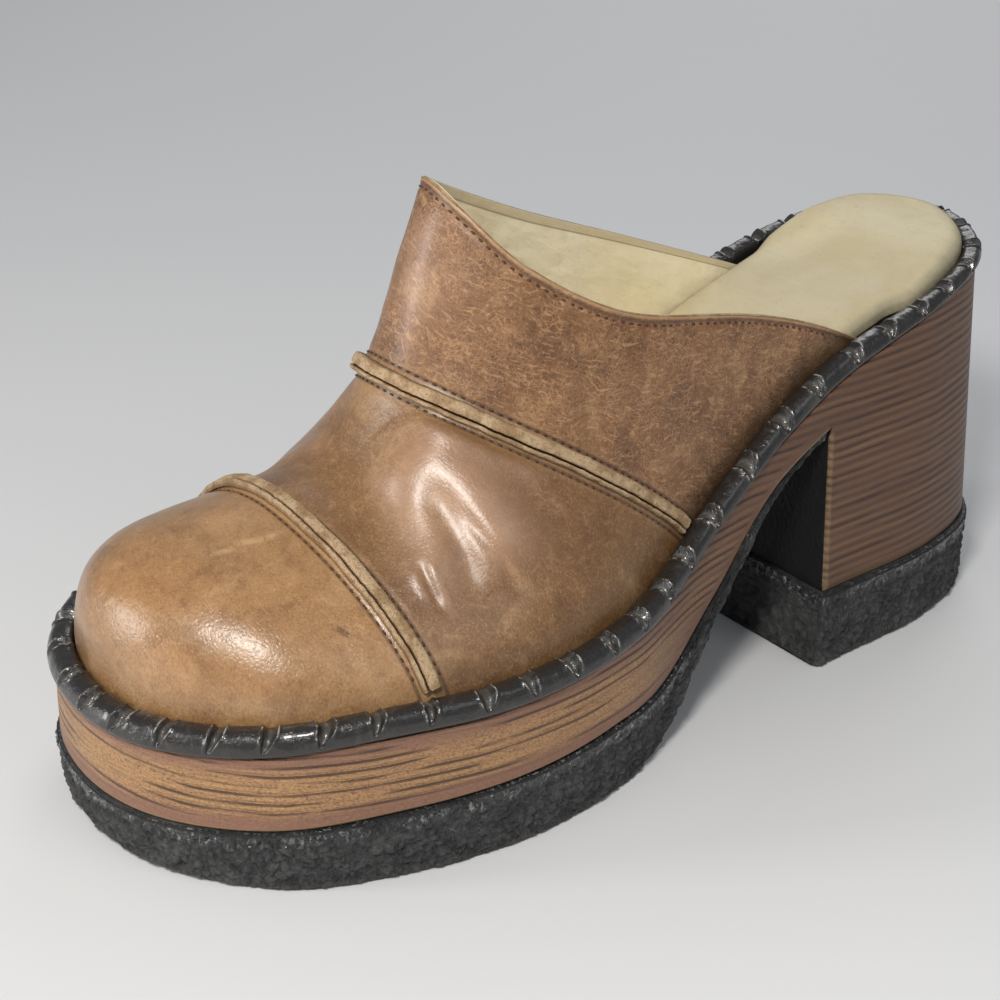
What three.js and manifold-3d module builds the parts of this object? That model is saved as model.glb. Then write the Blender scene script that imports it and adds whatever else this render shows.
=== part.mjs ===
import * as THREE from 'three';
import { mergeVertices } from 'three/addons/utils/BufferGeometryUtils.js';
import Module from 'manifold-3d';

// A left platform clog. A backless leather upper in three panels stands in a notched welt
// on a one-piece wooden platform and block heel, with crepe rubber under both.
// Lengths are millimetres. "Along" runs from the back of the welt (0) to its toe tip,
// "across" is positive towards the outer side of the foot, and heights start at the floor.

// Overall sizes
const SHOE_LENGTH = 261;
const BALL_WIDTH = 107;
const CREPE_THICKNESS = 18;
const WOOD_THICKNESS = 19;
const SEAT_HEIGHT = 96;

// Heel
const LIFT_HEIGHT = 22;
const BREAST_ALONG = 75;
const HEEL_FLARE = 5;
const FLARE_RUNOUT = 30;
const LIFT_PROUD = 1.5;
const LIFT_DRAFT = 2.5;

// Welt, wood and crepe edges
const WELT_WIDTH = 6;
const WELT_HEIGHT = 5.4;
const NOTCH_PITCH = 12;
const NOTCH_DEPTH = 1.3;
const NOTCH_SLANT = 2.5;
const WOOD_INSET = 1.5;
const CREPE_INSET = 0.6;
const CREPE_UNDERCUT = 1.5;
const TOE_SPRING = 1;

// Insole
const INSOLE_THICKNESS = 3.4;
const INSOLE_CROWN = 1.2;
const INSOLE_ROLL = 4;
const INSOLE_SHOULDER = 1;
const INSOLE_NECK = 10;

// Upper, with its crest measured over the wood at the toe tip
const UPPER_WALL = 2;
const TOE_BOX_HEIGHT = 35;
const THROAT_HEIGHT = 102.4;
const TOPLINE_SCOOP = 11.5;
const SEAM_WIDTH = 4.8;
const SEAM_HEIGHT = 2;
const TOE_SEAM_AT = 0.46;
const INSTEP_SEAM_AT = 0.74;

// Fits
const SEAT_GAP = 0.4;
const LASTING_GAP = 0.9;
const SEAM_GAP = 0.5;

// Fineness of the curved pieces
const EDGE_SAMPLES = 720;
const CUT_RING_POINTS = 108;
const SOLE_ROWS = 48;
const UPPER_ROWS = 42;
const UPPER_COLUMNS = 28;
const SEAM_STEPS = 36;
const FRAME_STEP = 0.002;
const SEAM_END_STEPS = 30;

// Outer edge of the welt seen from above, from the heel by the outer side round to the heel:
// along in shares of SHOE_LENGTH, across in shares of BALL_WIDTH.
const WELT_EDGE = [
  { along: 0.000, across: 0.000 },
  { along: 0.040, across: 0.205 },
  { along: 0.125, across: 0.292 },
  { along: 0.295, across: 0.322 },
  { along: 0.448, across: 0.368 },
  { along: 0.577, across: 0.487 },
  { along: 0.697, across: 0.523 },
  { along: 0.814, across: 0.474 },
  { along: 0.913, across: 0.368 },
  { along: 0.983, across: 0.150 },
  { along: 1.000, across: -0.076 },
  { along: 0.973, across: -0.310 },
  { along: 0.894, across: -0.458 },
  { along: 0.775, across: -0.496 },
  { along: 0.659, across: -0.466 },
  { along: 0.525, across: -0.390 },
  { along: 0.391, across: -0.321 },
  { along: 0.257, across: -0.307 },
  { along: 0.125, across: -0.304 },
  { along: 0.036, across: -0.225 },
];

// Side view of the wood: along in shares of SHOE_LENGTH, deck (its top) and belly (its
// underside) in shares of the heel's rise over the forefoot.
const SIDE_LINES = [
  { along: 0.00, deck: 1.000, belly: 0.940 },
  { along: 0.12, deck: 0.885, belly: 0.900 },
  { along: 0.26, deck: 0.705, belly: 0.845 },
  { along: 0.35, deck: 0.515, belly: 0.660 },
  { along: 0.43, deck: 0.270, belly: 0.256 },
  { along: 0.50, deck: 0.105, belly: 0.045 },
  { along: 0.60, deck: 0.030, belly: 0.020 },
  { along: 0.72, deck: 0.003, belly: 0.000 },
  { along: 0.86, deck: -0.006, belly: -0.020 },
  { along: 1.00, deck: -0.092, belly: -0.070 },
];

// Crepe under the arch, up to where it reaches the floor: along in shares of SHOE_LENGTH,
// thickness in shares of CREPE_THICKNESS.
const CREPE_SWEEP = [
  { along: 0.28, thickness: 0.18 },
  { along: 0.36, thickness: 0.28 },
  { along: 0.43, thickness: 0.46 },
  { along: 0.48, thickness: 0.74 },
];
const FLOOR_START = 0.54;
const FLOOR_END = 0.84;

// Sections of the upper from the toe tip (at 0) to the topline (at 1). Outer, inner and crest
// are the places of its two feet and its crest between the heel end and the toe tip of the
// lasting line. Toe and climb are the crest's height in shares of TOE_BOX_HEIGHT and of the
// throat's rise over it.
const UPPER_LINES = [
  { at: 0.00, outer: 1.000, inner: 1.000, crest: 1.000, toe: 0.00, climb: 0.000 },
  { at: 0.06, outer: 0.990, inner: 0.990, crest: 0.999, toe: 0.25, climb: 0.000 },
  { at: 0.14, outer: 0.965, inner: 0.967, crest: 1.000, toe: 0.50, climb: 0.000 },
  { at: 0.22, outer: 0.931, inner: 0.936, crest: 0.984, toe: 0.75, climb: 0.000 },
  { at: 0.30, outer: 0.891, inner: 0.899, crest: 0.945, toe: 0.92, climb: 0.000 },
  { at: 0.38, outer: 0.845, inner: 0.857, crest: 0.885, toe: 1.00, climb: 0.000 },
  { at: 0.46, outer: 0.792, inner: 0.800, crest: 0.824, toe: 1.00, climb: 0.030 },
  { at: 0.55, outer: 0.715, inner: 0.736, crest: 0.770, toe: 1.00, climb: 0.065 },
  { at: 0.64, outer: 0.616, inner: 0.647, crest: 0.740, toe: 1.00, climb: 0.170 },
  { at: 0.74, outer: 0.455, inner: 0.500, crest: 0.712, toe: 1.00, climb: 0.385 },
  { at: 0.87, outer: 0.337, inner: 0.337, crest: 0.681, toe: 1.00, climb: 0.690 },
  { at: 1.00, outer: 0.208, inner: 0.178, crest: 0.655, toe: 1.00, climb: 1.000 },
];

// Shape of the same sections. Across is the crest's place in shares of BALL_WIDTH. Square is
// the squareness of the section, 2 being an ellipse. Lean over 1 keeps the section upright by
// the welt before it leans to its crest. Swell is how far its sides stand out, as Across.
const UPPER_SHAPES = [
  { at: 0.00, across: -0.080, square: 2.00, lean: 2.00, swell: 0.000 },
  { at: 0.06, across: -0.080, square: 2.00, lean: 2.00, swell: 0.000 },
  { at: 0.14, across: -0.078, square: 2.00, lean: 2.00, swell: 0.000 },
  { at: 0.22, across: -0.074, square: 2.00, lean: 1.90, swell: 0.000 },
  { at: 0.30, across: -0.068, square: 1.95, lean: 1.80, swell: 0.000 },
  { at: 0.38, across: -0.060, square: 1.85, lean: 1.60, swell: 0.000 },
  { at: 0.46, across: -0.040, square: 1.80, lean: 1.30, swell: 0.000 },
  { at: 0.55, across: -0.030, square: 1.85, lean: 1.30, swell: 0.000 },
  { at: 0.64, across: -0.030, square: 2.00, lean: 1.35, swell: 0.006 },
  { at: 0.74, across: -0.030, square: 2.20, lean: 1.25, swell: 0.018 },
  { at: 0.87, across: -0.030, square: 2.40, lean: 1.10, swell: 0.028 },
  { at: 1.00, across: -0.025, square: 2.50, lean: 1.00, swell: 0.026 },
];

// How far the topline is cut down from the last section, from its outer foot (turn 0) over
// the crest (0.5) to its inner foot (1), in shares of TOPLINE_SCOOP.
const TOPLINE_CUT = [
  { turn: 0.00, scoop: 0.00 },
  { turn: 0.05, scoop: 0.02 },
  { turn: 0.10, scoop: 0.24 },
  { turn: 0.20, scoop: 0.95 },
  { turn: 0.30, scoop: 0.85 },
  { turn: 0.40, scoop: 0.32 },
  { turn: 0.50, scoop: 0.03 },
  { turn: 0.60, scoop: 0.00 },
  { turn: 0.80, scoop: 0.20 },
  { turn: 0.90, scoop: 0.12 },
  { turn: 1.00, scoop: 0.00 },
];

// Section of the welt: inset from its outer edge in shares of WELT_WIDTH, height over the
// wood in shares of WELT_HEIGHT, and how much of a notch's depth reaches that corner.
const WELT_SECTION = [
  { inset: 1.00, height: 0.06, notch: 0.0 },
  { inset: 0.12, height: 0.06, notch: 0.0 },
  { inset: 0.00, height: 0.40, notch: 0.6 },
  { inset: 0.10, height: 0.78, notch: 1.0 },
  { inset: 0.42, height: 1.00, notch: 1.0 },
  { inset: 0.80, height: 0.94, notch: 0.4 },
  { inset: 1.00, height: 0.72, notch: 0.0 },
];

// One pitch of the welt: where its stations lie in shares of the pitch, and the notch there.
const WELT_PITCH = [
  { share: 0.00, notch: 1 },
  { share: 0.20, notch: 0 },
  { share: 0.80, notch: 0 },
];

// Section of a raised seam, two raw edges stood up side by side with a groove between:
// across in shares of SEAM_WIDTH, height in shares of SEAM_HEIGHT over the upper.
const SEAM_SECTION = [
  { across: -0.50, height: 0.00 },
  { across: -0.50, height: 0.60 },
  { across: -0.32, height: 1.00 },
  { across: -0.12, height: 0.92 },
  { across: 0.00, height: 0.40 },
  { across: 0.12, height: 0.92 },
  { across: 0.32, height: 1.00 },
  { across: 0.50, height: 0.60 },
  { across: 0.50, height: 0.00 },
];

const DECK_HEIGHT = CREPE_THICKNESS + WOOD_THICKNESS;
const HEEL_RISE = SEAT_HEIGHT - DECK_HEIGHT;
const UPPER_INSET = WELT_WIDTH + SEAT_GAP;
const TOE_TIP = SHOE_LENGTH - UPPER_INSET;
const CUT_MARGIN = BALL_WIDTH;
// Makes the greatest value of up * up * (1 - up) one
const SWELL_SHAPE = 27 / 4;

const wasm = await Module();
wasm.setup();

// Reading the tables

function smoothAt(rows, parameter, column, value) {
  const last = rows.length - 1;
  const inside = THREE.MathUtils.clamp(value, rows[0][parameter], rows[last][parameter]);
  let row = 0;
  while (row < last - 1 && inside > rows[row + 1][parameter]) {
    row += 1;
  }
  const slope = (index) => {
    const before = rows[Math.max(index - 1, 0)];
    const after = rows[Math.min(index + 1, last)];
    return (after[column] - before[column]) / (after[parameter] - before[parameter]);
  };
  const span = rows[row + 1][parameter] - rows[row][parameter];
  const t = (inside - rows[row][parameter]) / span;
  const t2 = t * t;
  const t3 = t2 * t;
  return (2 * t3 - 3 * t2 + 1) * rows[row][column]
    + (t3 - 2 * t2 + t) * span * slope(row)
    + (3 * t2 - 2 * t3) * rows[row + 1][column]
    + (t3 - t2) * span * slope(row + 1);
}

// Heights along the shoe

function deckHeight(along) {
  return DECK_HEIGHT + HEEL_RISE * smoothAt(SIDE_LINES, 'along', 'deck', along / SHOE_LENGTH);
}

function bellyHeight(along) {
  return CREPE_THICKNESS + HEEL_RISE * smoothAt(SIDE_LINES, 'along', 'belly', along / SHOE_LENGTH);
}

function treadHeight(along) {
  const share = along / SHOE_LENGTH;
  const sweepEnd = CREPE_SWEEP[CREPE_SWEEP.length - 1];
  const under = (place) => {
    const thickness = CREPE_THICKNESS * smoothAt(CREPE_SWEEP, 'along', 'thickness', place);
    return bellyHeight(place * SHOE_LENGTH) - thickness;
  };
  if (share <= sweepEnd.along) {
    return under(share);
  }
  if (share < FLOOR_START) {
    const left = (FLOOR_START - share) / (FLOOR_START - sweepEnd.along);
    return under(sweepEnd.along) * left * left;
  }
  const past = Math.max(share - FLOOR_END, 0) / (1 - FLOOR_END);
  return TOE_SPRING * past * past;
}

// The outline and lines inside or outside it

const edgeCurve = new THREE.CatmullRomCurve3(
  WELT_EDGE.map((row) => new THREE.Vector3(row.along * SHOE_LENGTH, row.across * BALL_WIDTH, 0)),
  true,
);
edgeCurve.arcLengthDivisions = EDGE_SAMPLES;

function edgePoint(turn) {
  const wrapped = turn - Math.floor(turn);
  const point = edgeCurve.getPointAt(wrapped);
  const heading = edgeCurve.getTangentAt(wrapped);
  return { along: point.x, across: point.y, outAlong: -heading.y, outAcross: heading.x };
}

const edgeSamples = Array.from({ length: EDGE_SAMPLES }, (unused, i) => edgePoint(i / EDGE_SAMPLES));

function insetPoint(point, inset) {
  return {
    along: point.along - point.outAlong * inset,
    across: point.across - point.outAcross * inset,
  };
}

const insetLines = new Map();

function insetLine(inset) {
  if (!insetLines.has(inset)) {
    const points = edgeSamples.map((point) => insetPoint(point, inset));
    const alongs = points.map((point) => point.along);
    const toe = alongs.indexOf(Math.max(...alongs));
    const heel = alongs.indexOf(Math.min(...alongs));
    insetLines.set(inset, { points, toe, heel });
  }
  return insetLines.get(inset);
}

function insetSpan(inset) {
  const line = insetLine(inset);
  return { heel: line.points[line.heel].along, toe: line.points[line.toe].along };
}

// Across the shoe, where a line parallel to the welt's edge passes a place along it
function insetAcross(along, side, inset) {
  const line = insetLine(inset);
  const count = line.points.length;
  const step = side === 'outer' ? 1 : -1;
  let index = line.heel;
  let before = line.points[index];
  while (index !== line.toe) {
    index = (index + step + count) % count;
    const after = line.points[index];
    if (after.along >= along) {
      const span = Math.max(after.along - before.along, Number.EPSILON);
      const share = THREE.MathUtils.clamp((along - before.along) / span, 0, 1);
      return before.across + (after.across - before.across) * share;
    }
    before = after;
  }
  return before.across;
}

function place(along, across, height) {
  return new THREE.Vector3(across, SHOE_LENGTH / 2 - along, height);
}

// Closed bodies from triangles and from cut solids

function addQuad(triangles, a, b, c, d) {
  triangles.push([a, b, c], [a, c, d]);
}

function joinRows(triangles, rowA, rowB) {
  for (let i = 0; i < rowA.length - 1; i += 1) {
    addQuad(triangles, rowA[i], rowA[i + 1], rowB[i + 1], rowB[i]);
  }
}

function closeRing(row) {
  return [...row, row[0]];
}

function closedBody(triangles) {
  const corners = [];
  for (const [a, b, c] of triangles) {
    const area = new THREE.Triangle(a, b, c).getArea();
    if (area > 0) {
      corners.push(a, b, c);
    }
  }
  const geometry = mergeVertices(new THREE.BufferGeometry().setFromPoints(corners));
  return facingOut(geometry);
}

function facingOut(geometry) {
  const index = geometry.getIndex();
  const position = geometry.getAttribute('position');
  const corner = (i) => new THREE.Vector3().fromBufferAttribute(position, index.getX(i));
  let volume = 0;
  for (let i = 0; i < index.count; i += 3) {
    volume += corner(i).dot(corner(i + 1).cross(corner(i + 2)));
  }
  if (volume < 0) {
    for (let i = 0; i < index.count; i += 3) {
      const second = index.getX(i + 1);
      index.setX(i + 1, index.getX(i + 2));
      index.setX(i + 2, second);
    }
  }
  return geometry;
}

function toSolid(geometry) {
  const bare = geometry.clone();
  bare.deleteAttribute('normal');
  bare.deleteAttribute('uv');
  const merged = mergeVertices(bare);
  return new wasm.Manifold(new wasm.Mesh({
    numProp: 3,
    vertProperties: new Float32Array(merged.getAttribute('position').array),
    triVerts: new Uint32Array(merged.getIndex().array),
  }));
}

function fromSolid(solid) {
  const mesh = solid.getMesh();
  const geometry = new THREE.BufferGeometry();
  geometry.setAttribute('position', new THREE.BufferAttribute(new Float32Array(mesh.vertProperties), 3));
  geometry.setIndex(new THREE.BufferAttribute(new Uint32Array(mesh.triVerts), 1));
  return geometry;
}

// A block that follows the outline, its inset given at each place and each height
function outlineBlock(heights, insetAt) {
  const rings = heights.map((height) => {
    const ring = [];
    for (let i = 0; i < CUT_RING_POINTS; i += 1) {
      const edge = edgePoint(i / CUT_RING_POINTS);
      const point = insetPoint(edge, insetAt(edge.along, height));
      ring.push(place(point.along, point.across, height));
    }
    return ring;
  });
  const triangles = [];
  for (let level = 0; level < rings.length - 1; level += 1) {
    joinRows(triangles, closeRing(rings[level]), closeRing(rings[level + 1]));
  }
  for (const ring of [rings[0], [...rings[rings.length - 1]].reverse()]) {
    const middle = place(SHOE_LENGTH / 2, 0, ring[0].z);
    const closed = closeRing(ring);
    for (let i = 0; i < ring.length; i += 1) {
      triangles.push([middle, closed[i + 1], closed[i]]);
    }
  }
  return toSolid(closedBody(triangles));
}

// A slab as wide as the shoe whose side view is the closed line given as along and height
function sideSlab(line) {
  const shape = new THREE.Shape(line.map(([along, height]) => new THREE.Vector2(along, height)));
  const geometry = new THREE.ExtrudeGeometry(shape, { depth: 2 * CUT_MARGIN, bevelEnabled: false });
  const turn = new THREE.Matrix4().makeBasis(
    new THREE.Vector3(0, -1, 0),
    new THREE.Vector3(0, 0, 1),
    new THREE.Vector3(-1, 0, 0),
  );
  turn.setPosition(CUT_MARGIN, SHOE_LENGTH / 2, 0);
  return toSolid(geometry.applyMatrix4(turn));
}

function alongSteps(from, to) {
  const count = Math.max(Math.round((Math.abs(to - from) / SHOE_LENGTH) * SOLE_ROWS), 1);
  return Array.from({ length: count + 1 }, (unused, i) => from + ((to - from) * i) / count);
}

// Wooden platform and heel

function flareAt(along, height) {
  const runout = 1 - THREE.MathUtils.smoothstep(along, BREAST_ALONG, BREAST_ALONG + FLARE_RUNOUT);
  const drop = (SEAT_HEIGHT - height) / (SEAT_HEIGHT - LIFT_HEIGHT);
  return HEEL_FLARE * runout * THREE.MathUtils.clamp(drop, 0, 1);
}

function makePlatform() {
  const heights = [0, LIFT_HEIGHT, SEAT_HEIGHT, SEAT_HEIGHT + WOOD_THICKNESS];
  const block = outlineBlock(heights, (along, height) => WOOD_INSET - flareAt(along, height));
  const deck = alongSteps(-HEEL_FLARE, SHOE_LENGTH).map((along) => [along, deckHeight(along)]);
  const belly = alongSteps(SHOE_LENGTH, BREAST_ALONG).map((along) => [along, bellyHeight(along)]);
  const heelFoot = [
    [BREAST_ALONG, LIFT_HEIGHT + SEAT_GAP],
    [-HEEL_FLARE, LIFT_HEIGHT + SEAT_GAP],
  ];
  return fromSolid(block.intersect(sideSlab([...deck, ...belly, ...heelFoot])));
}

// Crepe rubber soles

function makeForefootCrepe() {
  const heights = [0, CREPE_THICKNESS / 2, SEAT_HEIGHT];
  const block = outlineBlock(heights, (along, height) => (
    height > 0 ? CREPE_INSET : CREPE_INSET + CREPE_UNDERCUT
  ));
  const rear = BREAST_ALONG + SEAT_GAP;
  const top = alongSteps(rear, SHOE_LENGTH).map((along) => [along, bellyHeight(along) - SEAT_GAP]);
  const tread = alongSteps(SHOE_LENGTH, rear).map((along) => [along, treadHeight(along)]);
  return fromSolid(block.intersect(sideSlab([...top, ...tread])));
}

function makeHeelLift() {
  const reach = WOOD_INSET - HEEL_FLARE - LIFT_PROUD;
  const block = outlineBlock([0, LIFT_HEIGHT], (along, height) => (
    reach + LIFT_DRAFT * (1 - height / LIFT_HEIGHT)
  ));
  const front = BREAST_ALONG + LIFT_PROUD;
  const back = -HEEL_FLARE - LIFT_PROUD;
  return fromSolid(block.intersect(sideSlab([
    [back, LIFT_HEIGHT],
    [front, LIFT_HEIGHT],
    [front, 0],
    [back, 0],
  ])));
}

// Notched welt

function makeWelt() {
  const pitches = Math.round(edgeCurve.getLength() / NOTCH_PITCH);
  const stations = [];
  for (let pitch = 0; pitch < pitches; pitch += 1) {
    for (const station of WELT_PITCH) {
      stations.push(WELT_SECTION.map((corner) => {
        const slant = (NOTCH_SLANT / NOTCH_PITCH) * (corner.inset - 0.5);
        const edge = edgePoint((pitch + station.share + slant) / pitches);
        const depth = NOTCH_DEPTH * corner.notch * station.notch;
        const point = insetPoint(edge, corner.inset * WELT_WIDTH + depth);
        const height = deckHeight(point.along) + corner.height * WELT_HEIGHT - depth;
        return place(point.along, point.across, height);
      }));
    }
  }
  const triangles = [];
  stations.forEach((station, i) => {
    joinRows(triangles, closeRing(station), closeRing(stations[(i + 1) % stations.length]));
  });
  return closedBody(triangles);
}

// Insole, wider behind the upper, with a softly rolled edge

function makeInsole() {
  const inLast = UPPER_INSET + UPPER_WALL + LASTING_GAP;
  const neckEnd = footAlong(Math.min(topSection().outer, topSection().inner)) - UPPER_WALL;
  const insetAt = (along, roll) => {
    const narrowed = THREE.MathUtils.smoothstep(along, neckEnd - INSOLE_NECK, neckEnd);
    return UPPER_INSET + (inLast - UPPER_INSET) * narrowed + roll;
  };
  const rings = [
    { roll: 0, lift: SEAT_GAP },
    { roll: 0, lift: SEAT_GAP + INSOLE_THICKNESS - INSOLE_CROWN },
    { roll: INSOLE_SHOULDER, lift: SEAT_GAP + INSOLE_THICKNESS },
    { roll: INSOLE_ROLL, lift: SEAT_GAP + INSOLE_THICKNESS + INSOLE_CROWN },
  ];
  const rows = rings.map(({ roll, lift }) => {
    const heel = insetSpan(insetAt(0, roll)).heel;
    const toe = insetSpan(insetAt(SHOE_LENGTH, roll)).toe;
    const sides = { outer: [], inner: [] };
    for (let i = 0; i <= SOLE_ROWS; i += 1) {
      const along = heel + ((toe - heel) * (1 - Math.cos((Math.PI * i) / SOLE_ROWS))) / 2;
      for (const side of ['outer', 'inner']) {
        const end = i === 0 || i === SOLE_ROWS;
        const across = insetAcross(along, end ? 'outer' : side, insetAt(along, roll));
        sides[side].push(place(along, across, deckHeight(along) + lift));
      }
    }
    return sides;
  });
  const triangles = [];
  for (let level = 0; level < rows.length - 1; level += 1) {
    joinRows(triangles, rows[level].outer, rows[level + 1].outer);
    joinRows(triangles, rows[level + 1].inner, rows[level].inner);
  }
  joinRows(triangles, rows[0].inner, rows[0].outer);
  joinRows(triangles, rows[rows.length - 1].outer, rows[rows.length - 1].inner);
  return closedBody(triangles);
}

// The upper's surface

function topSection() {
  return UPPER_LINES[UPPER_LINES.length - 1];
}

function footAlong(share) {
  const span = insetSpan(UPPER_INSET);
  return span.heel + (span.toe - span.heel) * share;
}

function upperPoint(at, turn) {
  const line = (column) => smoothAt(UPPER_LINES, 'at', column, at);
  const shape = (column) => smoothAt(UPPER_SHAPES, 'at', column, at);
  const angle = Math.PI * turn;
  const side = turn <= 0.5 ? 'outer' : 'inner';
  const square = shape('square');
  const cos = Math.abs(Math.cos(angle));
  const sin = Math.abs(Math.sin(angle));
  const reach = (cos ** square + sin ** square) ** (-1 / square);
  const footPlace = footAlong(line(side));
  const foot = {
    across: insetAcross(footPlace, side, UPPER_INSET),
    height: deckHeight(footPlace) + SEAT_GAP,
  };
  const rise = line('toe') * TOE_BOX_HEIGHT + line('climb') * (THROAT_HEIGHT - TOE_BOX_HEIGHT);
  const crest = {
    along: footAlong(line('crest')),
    across: shape('across') * BALL_WIDTH,
    height: deckHeight(TOE_TIP) + SEAT_GAP + rise,
  };
  const up = sin * reach;
  const swell = shape('swell') * BALL_WIDTH * SWELL_SHAPE * up * up * (1 - up);
  return place(
    footPlace + (crest.along - footPlace) * up ** shape('lean'),
    crest.across + (foot.across - crest.across) * cos * reach + Math.sign(foot.across) * swell,
    foot.height + (crest.height - foot.height) * up,
  );
}

// Point, outward normal and heading towards the topline
function upperFrame(at, turn) {
  const [turnBefore, turnAfter] = [Math.max(turn - FRAME_STEP, 0), Math.min(turn + FRAME_STEP, 1)];
  const [atBefore, atAfter] = [Math.max(at - FRAME_STEP, 0), Math.min(at + FRAME_STEP, 1)];
  const around = upperPoint(at, turnAfter).sub(upperPoint(at, turnBefore));
  const back = upperPoint(atAfter, turn).sub(upperPoint(atBefore, turn));
  const normal = new THREE.Vector3().crossVectors(back, around).normalize();
  const heading = new THREE.Vector3().crossVectors(around, normal).normalize();
  const speed = back.length() / (atAfter - atBefore);
  return { point: upperPoint(at, turn), normal, heading, speed };
}

function toplineAt(turn) {
  const scoop = TOPLINE_SCOOP * smoothAt(TOPLINE_CUT, 'turn', 'scoop', turn);
  return 1 - scoop / upperFrame(1, turn).speed;
}

function makeUpper() {
  const outerWall = [];
  const innerWall = [];
  for (let row = 0; row <= UPPER_ROWS; row += 1) {
    const outerRow = [];
    const innerRow = [];
    for (let column = 0; column <= UPPER_COLUMNS; column += 1) {
      const turn = column / UPPER_COLUMNS;
      const at = (row / UPPER_ROWS) * toplineAt(turn);
      const { point, normal } = upperFrame(Math.max(at, 2 * FRAME_STEP), turn);
      const onFoot = column === 0 || column === UPPER_COLUMNS || row === 0;
      if (row === 0) {
        point.copy(upperPoint(0, 0.5));
      }
      if (onFoot) {
        normal.setZ(0).normalize();
      }
      const inside = point.clone().addScaledVector(normal, -UPPER_WALL);
      if (onFoot) {
        inside.z = deckHeight(SHOE_LENGTH / 2 - inside.y) + SEAT_GAP;
      }
      outerRow.push(point);
      innerRow.push(inside);
    }
    if (row === 0) {
      const tip = innerRow[Math.round(UPPER_COLUMNS / 2)];
      innerRow.fill(tip);
    }
    outerWall.push(outerRow);
    innerWall.push(innerRow);
  }
  const triangles = [];
  for (let row = 0; row < UPPER_ROWS; row += 1) {
    joinRows(triangles, outerWall[row], outerWall[row + 1]);
    joinRows(triangles, innerWall[row + 1], innerWall[row]);
  }
  joinRows(triangles, outerWall[UPPER_ROWS], innerWall[UPPER_ROWS]);
  for (const column of [0, UPPER_COLUMNS]) {
    const outerFoot = outerWall.map((row) => row[column]);
    const innerFoot = innerWall.map((row) => row[column]);
    const pair = column === 0 ? [outerFoot, innerFoot] : [innerFoot, outerFoot];
    joinRows(triangles, ...pair);
  }
  return closedBody(triangles);
}

// Raised seams that lie on the upper and end on the welt

function seamEnd(at, side) {
  const clear = WELT_HEIGHT + 2 * SEAT_GAP;
  let low = side === 'outer' ? 0 : 1;
  let high = 0.5;
  for (let i = 0; i < SEAM_END_STEPS; i += 1) {
    const middle = (low + high) / 2;
    const point = upperPoint(at, middle);
    const over = point.z - deckHeight(SHOE_LENGTH / 2 - point.y);
    if (over < clear) {
      low = middle;
    } else {
      high = middle;
    }
  }
  return high;
}

function makeRaisedSeam(at) {
  const from = seamEnd(at, 'outer');
  const to = seamEnd(at, 'inner');
  const stations = [];
  for (let step = 0; step <= SEAM_STEPS; step += 1) {
    const turn = from + ((to - from) * step) / SEAM_STEPS;
    const { point, normal, heading } = upperFrame(at, turn);
    stations.push(SEAM_SECTION.map((corner) => point.clone()
      .addScaledVector(heading, corner.across * SEAM_WIDTH)
      .addScaledVector(normal, SEAM_GAP + corner.height * SEAM_HEIGHT)));
  }
  const triangles = [];
  for (let i = 0; i < stations.length - 1; i += 1) {
    joinRows(triangles, closeRing(stations[i]), closeRing(stations[i + 1]));
  }
  for (const station of [stations[0], [...stations[stations.length - 1]].reverse()]) {
    const middle = Math.floor(station.length / 2);
    for (let i = 0; i < station.length - 1; i += 1) {
      if (i !== middle && i + 1 !== middle) {
        triangles.push([station[middle], station[i + 1], station[i]]);
      }
    }
    triangles.push([station[middle], station[0], station[station.length - 1]]);
  }
  return closedBody(triangles);
}

// Finishes

const crepe = new THREE.MeshStandardMaterial({ color: 0x2b2c2d, roughness: 0.75, metalness: 0 });
const wood = new THREE.MeshStandardMaterial({ color: 0x7a4a35, roughness: 0.55, metalness: 0 });
const weltFinish = new THREE.MeshStandardMaterial({ color: 0x232221, roughness: 0.35, metalness: 0 });
const insoleLeather = new THREE.MeshStandardMaterial({ color: 0xd8caa2, roughness: 0.6, metalness: 0 });
const upperLeather = new THREE.MeshStandardMaterial({ color: 0x8f6845, roughness: 0.4, metalness: 0 });
const rawLeather = new THREE.MeshStandardMaterial({ color: 0xa98c66, roughness: 0.75, metalness: 0 });

// The whole clog, centred on its footprint

const SUB_PARTS = [
  { name: 'outsole_forefoot', geometry: makeForefootCrepe(), material: crepe },
  { name: 'heel_lift', geometry: makeHeelLift(), material: crepe.clone() },
  { name: 'platform', geometry: makePlatform(), material: wood },
  { name: 'welt', geometry: makeWelt(), material: weltFinish },
  { name: 'insole', geometry: makeInsole(), material: insoleLeather },
  { name: 'upper', geometry: makeUpper(), material: upperLeather },
  { name: 'raised_seam_toe', geometry: makeRaisedSeam(TOE_SEAM_AT), material: rawLeather },
  { name: 'raised_seam_instep', geometry: makeRaisedSeam(INSTEP_SEAM_AT), material: rawLeather.clone() },
];

const shoe = new THREE.Group();
for (const { name, geometry, material } of SUB_PARTS) {
  const mesh = new THREE.Mesh(geometry, material);
  mesh.name = name;
  shoe.add(mesh);
}

const footprint = new THREE.Box3().setFromObject(shoe).getCenter(new THREE.Vector3());
shoe.position.set(-footprint.x, -footprint.y, 0);

const clog = new THREE.Group();
clog.name = 'platform_clog_left';
clog.add(shoe);

export default clog;
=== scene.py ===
"""The looks of a left platform clog: a backless leather upper on a wood-look platform.

Sizes are millimetres until a mesh is built, and metres in every Blender object. Places are
named as on the shoe: "along" runs from the back of the welt to its toe tip, "across" is
positive towards the outer side of the foot, and heights start at the floor.
"""

import logging
import math
from dataclasses import dataclass, field
from enum import Enum
from typing import Callable, Sequence

import bmesh
import bpy
import numpy as np
from mathutils import Matrix, Vector, noise


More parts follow.
